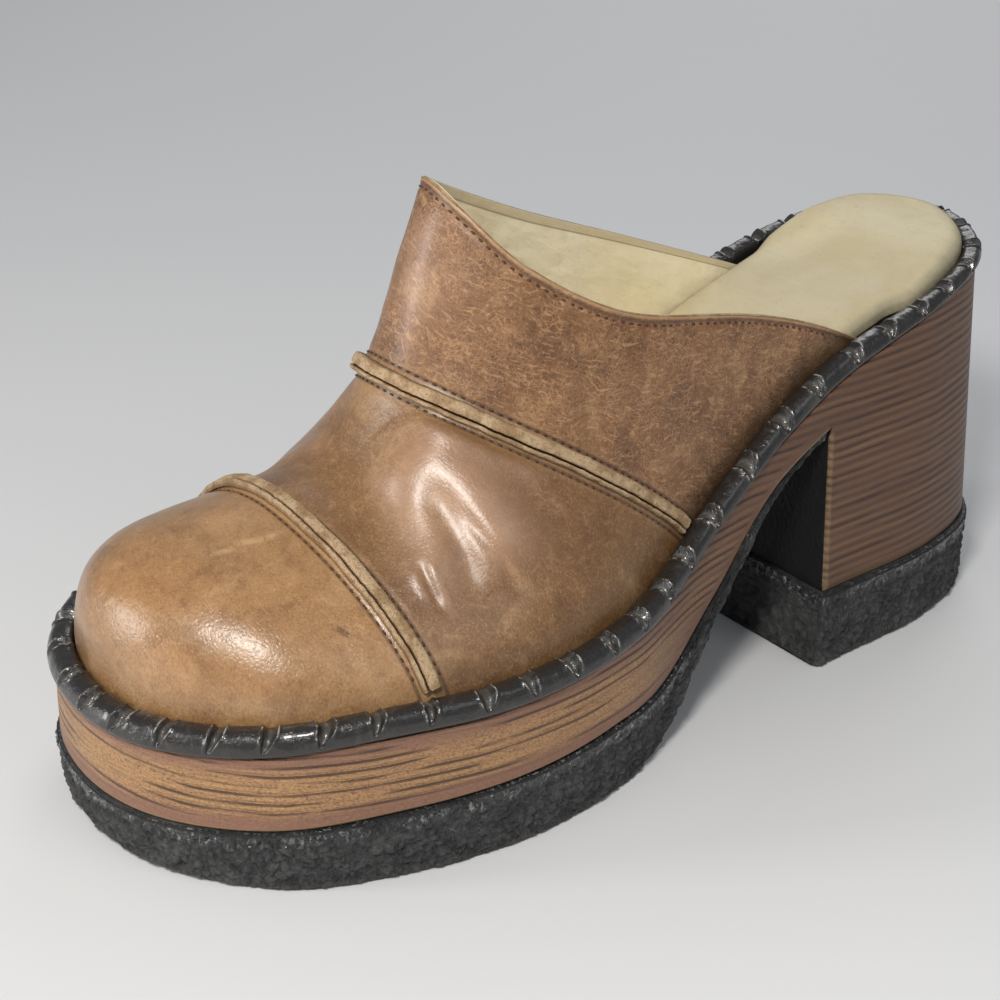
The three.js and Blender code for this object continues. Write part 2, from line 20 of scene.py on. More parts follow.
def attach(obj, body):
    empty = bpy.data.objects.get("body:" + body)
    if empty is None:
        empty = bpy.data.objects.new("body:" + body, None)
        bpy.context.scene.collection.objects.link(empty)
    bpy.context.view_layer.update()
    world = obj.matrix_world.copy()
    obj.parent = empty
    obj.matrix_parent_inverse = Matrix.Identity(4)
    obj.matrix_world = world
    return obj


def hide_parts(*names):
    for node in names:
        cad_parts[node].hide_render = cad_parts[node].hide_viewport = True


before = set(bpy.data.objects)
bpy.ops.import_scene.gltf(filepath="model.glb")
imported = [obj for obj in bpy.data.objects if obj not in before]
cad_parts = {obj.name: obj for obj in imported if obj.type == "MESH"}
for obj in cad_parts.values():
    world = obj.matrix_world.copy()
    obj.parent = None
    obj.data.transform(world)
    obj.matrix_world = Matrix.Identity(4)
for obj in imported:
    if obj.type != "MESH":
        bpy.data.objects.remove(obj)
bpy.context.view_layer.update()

MM = 0.001
ROOT_BODY = "root"
NOISE_SEED = 5

Array = np.ndarray
Triple = tuple[float, float, float]
Colour = Triple
Path = tuple[tuple[float, float], ...]

log = logging.getLogger("platform_clog")


class Side(Enum):
    """The two sides of the foot."""

    OUTER = 1
    INNER = -1


class Slot(Enum):
    """The record's material slots."""

    CREPE = "crepe_rubber"
    WOOD = "wood_finish"
    WELT = "welt_strip"
    INSOLE = "insole_leather"
    UPPER = "upper_leather"
    RAW = "raw_leather"


def paint(red: int, green: int, blue: int) -> Colour:
    """A colour from its eight-bit screen values.

    Args:
        red: Red, 0 to 255.
        green: Green, 0 to 255.
        blue: Blue, 0 to 255.

    Returns:
        The same colour in linear values.
    """
    def linear(value: int) -> float:
        """One channel's linear value."""
        share = value / 255
        return share / 12.92 if share <= 0.04045 else ((share + 0.055) / 1.055) ** 2.4

    return (linear(red), linear(green), linear(blue))


@dataclass(frozen=True)
class Table:
    """Rows of named columns, read with a smooth curve along the first column."""

    columns: tuple[str, ...]
    rows: tuple[tuple[float, ...], ...]

    def read(self, column: str, at: Array) -> Array:
        """Values of a column at places along the first column.

        Args:
            column: Name of the column.
            at: Places to read at.

        Returns:
            One value for each place.
        """
        table = np.array(self.rows, float)
        known, values = table[:, 0], table[:, self.columns.index(column)]
        at = np.clip(at, known[0], known[-1])
        row = np.searchsorted(known[1:-1], at, side="left")
        before = np.maximum(np.arange(len(known)) - 1, 0)
        after = np.minimum(np.arange(len(known)) + 1, len(known) - 1)
        slope = (values[after] - values[before]) / (known[after] - known[before])
        span = known[row + 1] - known[row]
        t = (at - known[row]) / span
        return (
            (2 * t**3 - 3 * t**2 + 1) * values[row]
            + (t**3 - 2 * t**2 + t) * span * slope[row]
            + (3 * t**2 - 2 * t**3) * values[row + 1]
            + (t**3 - t**2) * span * slope[row + 1]
        )


# The welt's outer edge seen from above, in shares of the shoe's length and ball width
WELT_EDGE = Table(
    ("along", "across"),
    (
        (0.000, 0.000), (0.040, 0.205), (0.125, 0.292), (0.295, 0.322), (0.448, 0.368),
        (0.577, 0.487), (0.697, 0.523), (0.814, 0.474), (0.913, 0.368), (0.983, 0.150),
        (1.000, -0.076), (0.973, -0.310), (0.894, -0.458), (0.775, -0.496), (0.659, -0.466),
        (0.525, -0.390), (0.391, -0.321), (0.257, -0.307), (0.125, -0.304), (0.036, -0.225),
    ),
)

# The wood's top and underside from the side, in shares of the heel's rise
SIDE_LINES = Table(
    ("along", "deck", "belly"),
    (
        (0.00, 1.000, 0.940), (0.12, 0.885, 0.900), (0.26, 0.705, 0.845),
        (0.35, 0.515, 0.660), (0.43, 0.270, 0.256), (0.50, 0.105, 0.045),
        (0.60, 0.030, 0.020), (0.72, 0.003, 0.000), (0.86, -0.006, -0.020),
        (1.00, -0.092, -0.070),
    ),
)

# How the crepe thins out under the arch, in shares of its thickness
CREPE_SWEEP = Table(
    ("along", "thickness"),
    ((0.28, 0.18), (0.36, 0.28), (0.43, 0.46), (0.48, 0.74)),
)

# Sections of the upper from the toe tip to the topline: their feet, crest and height
UPPER_LINES = Table(
    ("at", "outer", "inner", "crest", "toe", "climb"),
    (
        (0.00, 1.000, 1.000, 1.000, 0.00, 0.000), (0.06, 0.990, 0.990, 0.999, 0.25, 0.000),
        (0.14, 0.965, 0.967, 1.000, 0.50, 0.000), (0.22, 0.931, 0.936, 0.984, 0.75, 0.000),
        (0.30, 0.891, 0.899, 0.945, 0.92, 0.000), (0.38, 0.845, 0.857, 0.885, 1.00, 0.000),
        (0.46, 0.792, 0.800, 0.824, 1.00, 0.030), (0.55, 0.715, 0.736, 0.770, 1.00, 0.065),
        (0.64, 0.616, 0.647, 0.740, 1.00, 0.170), (0.74, 0.455, 0.500, 0.712, 1.00, 0.385),
        (0.87, 0.337, 0.337, 0.681, 1.00, 0.690), (1.00, 0.208, 0.178, 0.655, 1.00, 1.000),
    ),
)

# Shape of the same sections: crest's place across, squareness, lean and swell
UPPER_SHAPES = Table(
    ("at", "across", "square", "lean", "swell"),
    (
        (0.00, -0.080, 2.00, 2.00, 0.000), (0.06, -0.080, 2.00, 2.00, 0.000),
        (0.14, -0.078, 2.00, 2.00, 0.000), (0.22, -0.074, 2.00, 1.90, 0.000),
        (0.30, -0.068, 1.95, 1.80, 0.000), (0.38, -0.060, 1.85, 1.60, 0.000),
        (0.46, -0.040, 1.80, 1.30, 0.000), (0.55, -0.030, 1.85, 1.30, 0.000),
        (0.64, -0.030, 2.00, 1.35, 0.006), (0.74, -0.030, 2.20, 1.25, 0.018),
        (0.87, -0.030, 2.40, 1.10, 0.028), (1.00, -0.025, 2.50, 1.00, 0.026),
    ),
)

# How far the topline is cut down, from the outer foot over the crest to the inner foot
TOPLINE_CUT = Table(
    ("turn", "scoop"),
    (
        (0.00, 0.00), (0.05, 0.02), (0.10, 0.24), (0.20, 0.95), (0.30, 0.85), (0.40, 0.32),
        (0.50, 0.03), (0.60, 0.00), (0.80, 0.20), (0.90, 0.12), (1.00, 0.00),
    ),
)


@dataclass(frozen=True)
class ClogSizes:
    """Sizes of the clog's solids, in millimetres or as shares of the upper's run."""

    length: float = 261
    ball_width: float = 107
    crepe_thickness: float = 18
    wood_thickness: float = 19
    seat_height: float = 96
    lift_height: float = 21
    breast_along: float = 75
    heel_flare: float = 5
    flare_runout: float = 30
    lift_proud: float = 1.5
    lift_draft: float = 0.3
    welt_width: float = 6
    welt_height: float = 5.4
    notch_pitch: float = 12
    wood_inset: float = 1.5
    crepe_inset: float = 0.6
    crepe_undercut: float = 1.5
    toe_spring: float = 1
    floor_start: float = 0.54
    floor_end: float = 0.84
    insole_neck: float = 10
    upper_wall: float = 2
    toe_box_height: float = 35
    throat_height: float = 102.4
    topline_scoop: float = 11.5
    seam_height: float = 2
    toe_seam_at: float = 0.46
    instep_seam_at: float = 0.74
    seat_gap: float = 0.4
    lasting_gap: float = 0.9
    footprint_across: float = 1.4725
    footprint_along: float = 2.4696

    @property
    def deck_height(self) -> float:
        """Height of the wood's top at the forefoot."""
        return self.crepe_thickness + self.wood_thickness

    @property
    def heel_rise(self) -> float:
        """How far the heel seat lies over the forefoot."""
        return self.seat_height - self.deck_height

    @property
    def upper_inset(self) -> float:
        """How far inside the welt's edge the upper stands."""
        return self.welt_width + self.seat_gap


@dataclass
class SurfaceFrame:
    """Points on the upper with their outward normals and their headings to the topline."""

    point: Array
    normal: Array
    heading: Array
    speed: Array


def unit(vectors: Array) -> Array:
    """The vectors at length one, the last axis holding their three parts."""
    return vectors / np.maximum(np.linalg.norm(vectors, axis=-1, keepdims=True), 1e-12)


def smoothstep(value: Array, low: float, high: float) -> Array:
    """A smooth rise from 0 at low to 1 at high.

    Args:
        value: Values to test.
        low: Where the rise starts.
        high: Where it ends.

    Returns:
        Values from 0 to 1.
    """
    t = np.clip((value - low) / (high - low), 0, 1)
    return t * t * (3 - 2 * t)


def bell(distance: Array) -> Array:
    """A bell curve, 1 at distance 0."""
    return np.exp(-(distance**2))


class Last:
    """The clog's lines and surfaces, worked out as its solids are."""

    EDGE_POINTS = 6000
    FRAME_STEP = 0.002
    SWELL_SHAPE = 27 / 4
    SEAM_TURNS = 4000

    def __init__(self, sizes: ClogSizes) -> None:
        """Works out the outline once.

        Args:
            sizes: The clog's sizes.
        """
        self.sizes = sizes
        self._lines: dict[float, dict[Side, tuple[Array, Array]]] = {}
        corners = np.array(WELT_EDGE.rows) * [sizes.length, sizes.ball_width]
        dense = self._closed_curve(corners, self.EDGE_POINTS)
        closed = np.vstack([dense, dense[:1]])
        run = np.concatenate([[0], np.cumsum(np.linalg.norm(np.diff(closed, axis=0), axis=1))])
        self.edge_length = float(run[-1])
        turns = np.arange(self.EDGE_POINTS) / self.EDGE_POINTS
        self._edge = np.stack(
            [np.interp(turns * run[-1], run, closed[:, part]) for part in (0, 1)], axis=1
        )
        heading = unit(np.roll(self._edge, -1, axis=0) - np.roll(self._edge, 1, axis=0))
        self._out = np.stack([-heading[:, 1], heading[:, 0]], axis=1)

    @staticmethod
    def _closed_curve(corners: Array, count: int) -> Array:
        """Points on the closed centripetal curve through the corners.

        Args:
            corners: Corners of the curve.
            count: How many points to return.

        Returns:
            The points, evenly spaced in the curve's own parameter.
        """
        place = np.arange(count) / count * len(corners)
        first = np.floor(place).astype(int)
        t = (place - first)[:, None]
        p0, p1, p2, p3 = (corners[(first + k) % len(corners)] for k in (-1, 0, 1, 2))
        d0, d1, d2 = (
            np.sqrt(np.linalg.norm(b - a, axis=1))[:, None]
            for a, b in ((p0, p1), (p1, p2), (p2, p3))
        )
        start = ((p1 - p0) / d0 - (p2 - p0) / (d0 + d1) + (p2 - p1) / d1) * d1
        end = ((p2 - p1) / d1 - (p3 - p1) / (d1 + d2) + (p3 - p2) / d2) * d1
        return (
            p1
            + start * t
            + (3 * (p2 - p1) - 2 * start - end) * t**2
            + (2 * (p1 - p2) + start + end) * t**3
        )

    def deck(self, along: Array) -> Array:
        """Height of the wood's top."""
        share = SIDE_LINES.read("deck", np.asarray(along) / self.sizes.length)
        return self.sizes.deck_height + self.sizes.heel_rise * share

    def belly(self, along: Array) -> Array:
        """Height of the wood's underside."""
        share = SIDE_LINES.read("belly", np.asarray(along) / self.sizes.length)
        return self.sizes.crepe_thickness + self.sizes.heel_rise * share

    def tread(self, along: Array) -> Array:
        """Height of the forefoot crepe's underside."""
        s = self.sizes
        share = np.asarray(along) / s.length
        swept = CREPE_SWEEP.rows[-1][0]

        def under(place: Array) -> Array:
            """Underside of the swept part."""
            thickness = s.crepe_thickness * CREPE_SWEEP.read("thickness", place)
            return self.belly(place * s.length) - thickness

        left = np.clip((s.floor_start - share) / (s.floor_start - swept), 0, 1)
        past = np.clip((share - s.floor_end) / (1 - s.floor_end), 0, None)
        landing = under(np.array(swept)) * left**2 + s.toe_spring * past**2
        return np.where(share <= swept, under(np.minimum(share, swept)), landing)

    def edge(self, turn: Array) -> tuple[Array, Array]:
        """Points on the welt's edge and their outward directions.

        Args:
            turn: Places round the edge, 0 to 1.

        Returns:
            Points and directions, each as along and across.
        """
        place = np.mod(turn, 1) * self.EDGE_POINTS
        known = np.arange(self.EDGE_POINTS + 1)
        both = [np.vstack([values, values[:1]]) for values in (self._edge, self._out)]
        points, out = (
            np.stack([np.interp(place, known, values[:, part]) for part in (0, 1)], axis=-1)
            for values in both
        )
        return points, out

    def _line(self, inset: float) -> dict[Side, tuple[Array, Array]]:
        """A line parallel to the edge, split into its two sides.

        Args:
            inset: How far inside the edge the line runs.

        Returns:
            Points and outward directions of each side, from the heel to the toe.
        """
        key = round(inset, 4)
        if key not in self._lines:
            points = self._edge - self._out * inset
            toe, heel = int(np.argmax(points[:, 0])), int(np.argmin(points[:, 0]))
            count = len(points)
            outer = (heel + np.arange((toe - heel) % count + 1)) % count
            inner = (heel - np.arange((heel - toe) % count + 1)) % count
            self._lines[key] = {
                Side.OUTER: (points[outer], self._out[outer]),
                Side.INNER: (points[inner], self._out[inner]),
            }
        return self._lines[key]

    def span(self, inset: float) -> tuple[float, float]:
        """Where a line parallel to the edge starts and ends along the shoe."""
        points = self._line(inset)[Side.OUTER][0]
        return float(points[0, 0]), float(points[-1, 0])

    def across(self, along: Array, side: Side, inset: float) -> Array:
        """Where a line parallel to the edge passes places along the shoe.

        Args:
            along: The places.
            side: Which side of the foot.
            inset: How far inside the edge the line runs.

        Returns:
            Places across the shoe.
        """
        points = self._line(inset)[side][0]
        run = np.maximum.accumulate(points[:, 0])
        return np.interp(along, run, points[:, 1])

    def outward(self, along: Array, side: Side) -> Array:
        """Outward directions of the edge at places along one side."""
        points, out = self._line(0.0)[side]
        run = np.maximum.accumulate(points[:, 0])
        return np.stack([np.interp(along, run, out[:, part]) for part in (0, 1)], axis=-1)

    def place(self, along: Array, across: Array, height: Array) -> Array:
        """Points in the row frame, in millimetres."""
        s = self.sizes
        along, across, height = np.broadcast_arrays(along, across, height)
        shifted = s.length / 2 - along - s.footprint_along
        return np.stack([across - s.footprint_across, shifted, height], axis=-1)

    def along_of(self, points: Array) -> Array:
        """Places along the shoe of points in the row frame."""
        return self.sizes.length / 2 - self.sizes.footprint_along - points[..., 1]

    def foot_along(self, share: Array) -> Array:
        """Places on the lasting line, 0 at its heel end and 1 at its toe tip."""
        heel, toe = self.span(self.sizes.upper_inset)
        return heel + (toe - heel) * share

    def upper(self, at: Array, turn: Array) -> Array:
        """Points on the outside of the upper.

        Args:
            at: From the toe tip, 0, to the topline, 1.
            turn: From the outer foot, 0, over the crest to the inner foot, 1.

        Returns:
            Points in the row frame, in millimetres.
        """
        s = self.sizes
        at, turn = np.broadcast_arrays(np.asarray(at, float), np.asarray(turn, float))
        square = UPPER_SHAPES.read("square", at)
        cos, sin = np.abs(np.cos(math.pi * turn)), np.abs(np.sin(math.pi * turn))
        reach = (cos**square + sin**square) ** (-1 / square)
        outer = turn <= 0.5
        foot_place = self.foot_along(
            np.where(outer, UPPER_LINES.read("outer", at), UPPER_LINES.read("inner", at))
        )
        foot_across = np.where(
            outer,
            self.across(foot_place, Side.OUTER, s.upper_inset),
            self.across(foot_place, Side.INNER, s.upper_inset),
        )
        foot_height = self.deck(foot_place) + s.seat_gap
        rise = UPPER_LINES.read("toe", at) * s.toe_box_height + UPPER_LINES.read("climb", at) * (
            s.throat_height - s.toe_box_height
        )
        crest_height = self.deck(np.array(s.length - s.upper_inset)) + s.seat_gap + rise
        crest_across = UPPER_SHAPES.read("across", at) * s.ball_width
        crest_along = self.foot_along(UPPER_LINES.read("crest", at))
        up = sin * reach
        swell = UPPER_SHAPES.read("swell", at) * s.ball_width * self.SWELL_SHAPE
        return self.place(
            foot_place + (crest_along - foot_place) * up ** UPPER_SHAPES.read("lean", at),
            crest_across
            + (foot_across - crest_across) * cos * reach
            + np.sign(foot_across) * swell * up * up * (1 - up),
            foot_height + (crest_height - foot_height) * up,
        )

    def upper_frame(self, at: Array, turn: Array) -> SurfaceFrame:
        """The upper's surface with its directions.

        Args:
            at: From the toe tip, 0, to the topline, 1.
            turn: From the outer foot, 0, over the crest to the inner foot, 1.

        Returns:
            The points and their directions.
        """
        at, turn = np.broadcast_arrays(np.asarray(at, float), np.asarray(turn, float))
        step = self.FRAME_STEP
        turns = np.clip(turn - step, 0, 1), np.clip(turn + step, 0, 1)
        ats = np.clip(at - step, 0, 1), np.clip(at + step, 0, 1)
        around = self.upper(at, turns[1]) - self.upper(at, turns[0])
        back = self.upper(ats[1], turn) - self.upper(ats[0], turn)
        normal = unit(np.cross(back, around))
        heading = unit(np.cross(around, normal))
        speed = np.linalg.norm(back, axis=-1) / (ats[1] - ats[0])
        return SurfaceFrame(self.upper(at, turn), normal, heading, speed)

    def topline(self, turn: Array) -> Array:
        """Where the topline crosses the upper's run."""
        scoop = self.sizes.topline_scoop * TOPLINE_CUT.read("scoop", turn)
        return 1 - scoop / self.upper_frame(1.0, turn).speed

    def seam_end(self, at: float, side: Side, clear: float) -> float:
        """The turn at which a seam comes clear of the welt.

        Args:
            at: The seam's place on the upper's run.
            side: Which end of the seam.
            clear: Height over the wood that counts as clear.

        Returns:
            The turn.
        """
        turns = np.linspace(0 if side is Side.OUTER else 1, 0.5, self.SEAM_TURNS)
        points = self.upper(at, turns)
        over = points[:, 2] - self.deck(self.along_of(points))
        return float(turns[int(np.argmax(over >= clear))])


class MeshDraft:
    """Points, faces and painted values of one piece, gathered grid by grid."""

    WELD_STEPS = 2000

    def __init__(self) -> None:
        """Starts empty."""
        self._points: list[Array] = []
        self._quads: list[tuple[Array, int]] = []
        self._values: dict[str, list[tuple[int, Array]]] = {}
        self._count = 0

    def add(self, points: Array, **values: Array) -> Array:
        """Adds points, in millimetres.

        Args:
            points: Any grid of points.
            **values: Painted values, one for each point.

        Returns:
            The points' numbers, in the grid's shape.
        """
        flat = points.reshape(-1, 3)
        numbers = np.arange(self._count, self._count + len(flat)).reshape(points.shape[:-1])
        self._points.append(flat)
        for name, value in values.items():
            spread = np.broadcast_to(value, points.shape[:-1]).reshape(-1)
            self._values.setdefault(name, []).append((self._count, spread))
        self._count += len(flat)
        return numbers

    def cover(self, grid: Array, finish: int = 0, ring: bool = False) -> None:
        """Covers a grid of point numbers with quads.

        Args:
            grid: The numbers.
            finish: Number of the finish.
            ring: Whether the last column meets the first.
        """
        if ring:
            grid = np.hstack([grid, grid[:, :1]])
        quads = np.stack([grid[:-1, :-1], grid[:-1, 1:], grid[1:, 1:], grid[1:, :-1]], axis=-1)
        self._quads.append((quads.reshape(-1, 4), finish))

    def sheet(self, points: Array, finish: int = 0, ring: bool = False, **values: Array) -> Array:
        """Adds a grid of points and covers it.

        Args:
            points: The grid.
            finish: Number of the finish.
            ring: Whether the last column meets the first.
            **values: Painted values, one for each point.

        Returns:
            The points' numbers.
        """
        numbers = self.add(points, **values)
        self.cover(numbers, finish, ring)
        return numbers

    def patch(self, corners: Array, finish: int = 0) -> None:
        """Covers rows of four point numbers, a corner named twice making a triangle."""
        self._quads.append((corners, finish))

    def tube(self, points: Array, **values: Array) -> None:
        """Adds a closed tube with its two ends capped.

        Args:
            points: Rings of points.
            **values: Painted values, one for each point or ring corner.
        """
        numbers = self.sheet(points, 0, ring=True, **values)
        for end in (0, -1):
            middle = self.add(points[end].mean(axis=0)[None, None], **{n: 1.0 for n in values})
            rim = np.append(numbers[end], numbers[end][0])
            self.cover(np.stack([rim, np.full(len(rim), middle[0, 0])]), 0)

    def build(
        self, name: str, finishes: Sequence[bpy.types.Material], crisp: float
    ) -> bpy.types.Object:
        """Welds what was gathered into one object, in metres.

        Args:
            name: The piece's name.
            finishes: Its materials, in the order of their numbers.
            crisp: Angle in degrees over which an edge is shaded sharp.

        Returns:
            The object.
        """
        points = np.vstack(self._points)
        keys = np.round(points * self.WELD_STEPS).astype(np.int64)
        _, first, welded = np.unique(keys, axis=0, return_index=True, return_inverse=True)
        welded = welded.reshape(-1)
        faces, marks = [], []
        for quads, finish in self._quads:
            corners = welded[quads]
            kept = corners != np.roll(corners, 1, axis=1)
            sides = kept.sum(axis=1)
            whole = corners[sides == 4]
            thin = corners[sides == 3][kept[sides == 3]].reshape(-1, 3)
            for group in (whole, thin):
                distinct = np.array([len(set(row)) == len(row) for row in group.tolist()], bool)
                group = group[distinct] if len(group) else group
                faces.extend(group.tolist())
                marks.extend([finish] * len(group))
        mesh = bpy.data.meshes.new(name)
        mesh.from_pydata((points[first] * MM).tolist(), [], faces)
        mesh.polygons.foreach_set("material_index", marks)
        for label, parts in self._values.items():
            spread = np.zeros(self._count, np.float32)
            for start, value in parts:
                spread[start:start + len(value)] = value
            layer = mesh.attributes.new(label, "FLOAT", "POINT")
            layer.data.foreach_set("value", spread[first].astype(np.float32))
        self._face_out(mesh)
        mesh.shade_smooth()
        mesh.set_sharp_from_angle(angle=math.radians(crisp))
        for finish in finishes:
            mesh.materials.append(finish)
        piece = bpy.data.objects.new(name, mesh)
        bpy.context.scene.collection.objects.link(piece)
        log.info("%s: %d points, %d faces", name, len(first), len(faces))
        return piece

    @staticmethod
    def _face_out(mesh: bpy.types.Mesh) -> None:
        """Drops points without faces and turns all faces of a closed mesh outwards."""
        body = bmesh.new()
        body.from_mesh(mesh)
        loose = [vertex for vertex in body.verts if not vertex.link_faces]
        bmesh.ops.delete(body, geom=loose, context="VERTS")
        bmesh.ops.recalc_face_normals(body, faces=body.faces)
        body.to_mesh(mesh)
        body.free()


def rough(points: Array, size: float, octaves: int = 3, offset: float = 0) -> Array:
    """Seeded rough noise at points.

    Args:
        points: Points in millimetres.
        size: Size of the coarsest lumps, in millimetres.
        octaves: How many finer layers are added.
        offset: Moves the pattern.

    Returns:
        Values around 0, mostly between -1 and 1.
    """
    flat = points.reshape(-1, 3) / size + offset
    values = [noise.fractal(Vector(point), 1.0, 2.0, octaves) for point in flat.tolist()]
    return np.array(values).reshape(points.shape[:-1])


LUMP_BEND = 0.55
LUMP_BEND_SCALE = 1.3
CRACK_STEEPNESS = 2.2


def lumps(points: Array, size: float, offset: float = 0) -> Array:
    """Seeded lumps parted by cracks, from 0 in the cracks to 1 on the lumps.

    Args:
        points: Points in millimetres.
        size: Size of a lump, in millimetres.
        offset: Moves the pattern.

    Returns:
        One value for each point.
    """
    values = []
    for spot in (points.reshape(-1, 3) / size + offset).tolist():
        place = Vector(spot)
        bent = place + noise.noise_vector(place * LUMP_BEND_SCALE) * LUMP_BEND
        near, second = noise.voronoi(bent)[0][:2]
        values.append(min(1.0, (second - near) * CRACK_STEEPNESS))
    return np.array(values).reshape(points.shape[:-1])


Number = "Term | float"


class Term:
    """A value socket of a material that takes part in sums as a number does."""

    def __init__(self, shader: "Shader", socket: bpy.types.NodeSocket) -> None:
        """Wraps a socket.

        Args:
            shader: The material that the socket is in.
            socket: The socket.
        """
        self.shader = shader
        self.socket = socket

    def _math(self, operation: str, *values: Number, clamp: bool = False) -> "Term":
        """A Math node on values and terms."""
        inputs = dict(enumerate(values))
        node = self.shader.node(
            "ShaderNodeMath", {"operation": operation, "use_clamp": clamp}, inputs
        )
        return Term(self.shader, node.outputs[0])

    def __add__(self, other: Number) -> "Term":
        """The sum."""
        return self._math("ADD", self, other)

    __radd__ = __add__

    def __sub__(self, other: Number) -> "Term":
        """The difference."""
        return self._math("SUBTRACT", self, other)

    def __rsub__(self, other: Number) -> "Term":
        """The difference from a number."""
        return self._math("SUBTRACT", other, self)

    def __mul__(self, other: Number) -> "Term":
        """The product."""
        return self._math("MULTIPLY", self, other)

    __rmul__ = __mul__

    def most(self, other: Number) -> "Term":
        """The larger of two."""
        return self._math("MAXIMUM", self, other)

    def clamped(self) -> "Term":
        """The value held between 0 and 1."""
        return self._math("ADD", self, 0.0, clamp=True)

    def rise(self, low: float, high: float) -> "Term":
        """A smooth step from 0 at low to 1 at high, or down where low is the larger."""
        falls = low > high
        node = self.shader.node(
            "ShaderNodeMapRange",
            {"interpolation_type": "SMOOTHSTEP"},
            {
                "Value": self,
                "From Min": min(low, high),
                "From Max": max(low, high),
                "To Min": 1.0 if falls else 0.0,
                "To Max": 0.0 if falls else 1.0,
            },
        )
        return Term(self.shader, node.outputs["Result"])


class Shader:
    """One procedural material, made node by node."""

    def __init__(self, name: str) -> None:
        """Starts a material with its surface shader.

        Args:
            name: The material's name.
        """
        self.material = bpy.data.materials.new(name)
        self.material.use_nodes = True
        self.tree = self.material.node_tree
        self.surface = self.tree.nodes["Principled BSDF"]
        self._place: bpy.types.NodeSocket | None = None

    def node(self, kind: str, settings: dict, inputs: dict) -> bpy.types.Node:
        """Adds a node.

        Args:
            kind: The node's type.
            settings: Its settings, set before its sockets.
            inputs: Values, terms or sockets by the input's name or number.

        Returns:
            The node.
        """
        node = self.tree.nodes.new(kind)
        for name, value in settings.items():
            setattr(node, name, value)
        for name, value in inputs.items():
            self.feed(node.inputs[name], value)
        return node

    def feed(self, socket: bpy.types.NodeSocket, value: object) -> None:
        """Links or sets one input.

        Args:
            socket: The input.
            value: A term, a socket, a number, a vector or a colour.
        """
        if isinstance(value, Term):
            value = value.socket
        if isinstance(value, bpy.types.NodeSocket):
            self.tree.links.new(value, socket)
        elif socket.type == "RGBA":
            socket.default_value = (*value[:3], 1.0)
        else:
            socket.default_value = value

    def painted(self, name: str) -> Term:
        """A value painted on the mesh."""
        node = self.node("ShaderNodeAttribute", {"attribute_name": name}, {})
        return Term(self, node.outputs["Fac"])

    def place(self) -> bpy.types.NodeSocket:
        """Places on the object, in metres."""
        if self._place is None:
            self._place = self.node("ShaderNodeTexCoord", {}, {}).outputs["Object"]
        return self._place

    def vector(self, *parts: Number) -> bpy.types.NodeSocket:
        """A vector from three values."""
        return self.node("ShaderNodeCombineXYZ", {}, dict(enumerate(parts))).outputs[0]

    def stretched(
        self,
        scale: Triple,
        turn: Triple = (0, 0, 0),
        where: bpy.types.NodeSocket | None = None,
    ) -> bpy.types.NodeSocket:
        """Places turned, then stretched along X, Y and Z.

        Args:
            scale: Scale of each direction.
            turn: Turn about each direction, in degrees.
            where: Places to stretch, or None for the object's.

        Returns:
            The vector socket.
        """
        angles = tuple(math.radians(angle) for angle in turn)
        turned = self.node(
            "ShaderNodeVectorRotate",
            {"rotation_type": "EULER_XYZ"},
            {"Vector": where or self.place(), "Rotation": angles},
        )
        node = self.node(
            "ShaderNodeVectorMath", {"operation": "MULTIPLY"}, {0: turned.outputs[0], 1: scale}
        )
        return node.outputs[0]

    def noise(
        self,
        scale: float,
        detail: float = 3,
        roughness: float = 0.55,
        distortion: float = 0,
        where: bpy.types.NodeSocket | None = None,
    ) -> Term:
        """Cloudy noise around 0.5.

        Args:
            scale: Lumps in a metre.
            detail: Finer layers.
            roughness: Strength of the finer layers.
            distortion: How far the pattern is bent.
            where: Places to read, or None for the object's.

        Returns:
            The noise.
        """
        node = self.node(
            "ShaderNodeTexNoise",
            {"noise_dimensions": "3D"},
            {
                "Vector": where or self.place(),
                "Scale": scale,
                "Detail": detail,
                "Roughness": roughness,
                "Distortion": distortion,
            },
        )
        return Term(self, node.outputs[0])

    def bent(self, scale: float, amount: float) -> bpy.types.NodeSocket:
        """Places bent by noise, for patterns that shouldn't look regular.

        Args:
            scale: Lumps of the bending in a metre.
            amount: How far places move, in metres.

        Returns:
            The vector socket.
        """
        cloud = self.node(
            "ShaderNodeTexNoise", {}, {"Vector": self.place(), "Scale": scale, "Detail": 2.0}
        )
        centred = self.node(
            "ShaderNodeVectorMath",
            {"operation": "SUBTRACT"},
            {0: cloud.outputs["Color"], 1: (0.5, 0.5, 0.5)},
        )
        moved = self.node(
            "ShaderNodeVectorMath",
            {"operation": "MULTIPLY_ADD"},
            {0: centred.outputs[0], 1: (amount, amount, amount), 2: self.place()},
        )
        return moved.outputs[0]

    def bands(self, pitch: float, bend: float, where: bpy.types.NodeSocket) -> Term:
        """Level bands, one above the other.

        Args:
            pitch: Height from one band to the next, in metres.
            bend: How far noise bends them.
            where: Places to read.

        Returns:
            The bands, 0 to 1.
        """
        node = self.node(
            "ShaderNodeTexWave",
            {"bands_direction": "Z"},
            {
                "Vector": where,
                "Scale": math.pi / (10 * pitch),
                "Distortion": bend,
                "Detail Scale": 0.12,
            },
        )
        return Term(self, node.outputs["Fac"])

    def cells(
        self, scale: float, feature: str = "F1", where: bpy.types.NodeSocket | None = None
    ) -> Term:
        """Cells, by the distance to their centres or to their borders.

        Args:
            scale: Cells in a metre.
            feature: F1 or DISTANCE_TO_EDGE.
            where: Places to read, or None for the object's.

        Returns:
            The distance.
        """
        node = self.node(
            "ShaderNodeTexVoronoi",
            {"feature": feature},
            {"Vector": where or self.place(), "Scale": scale},
        )
        return Term(self, node.outputs["Distance"])

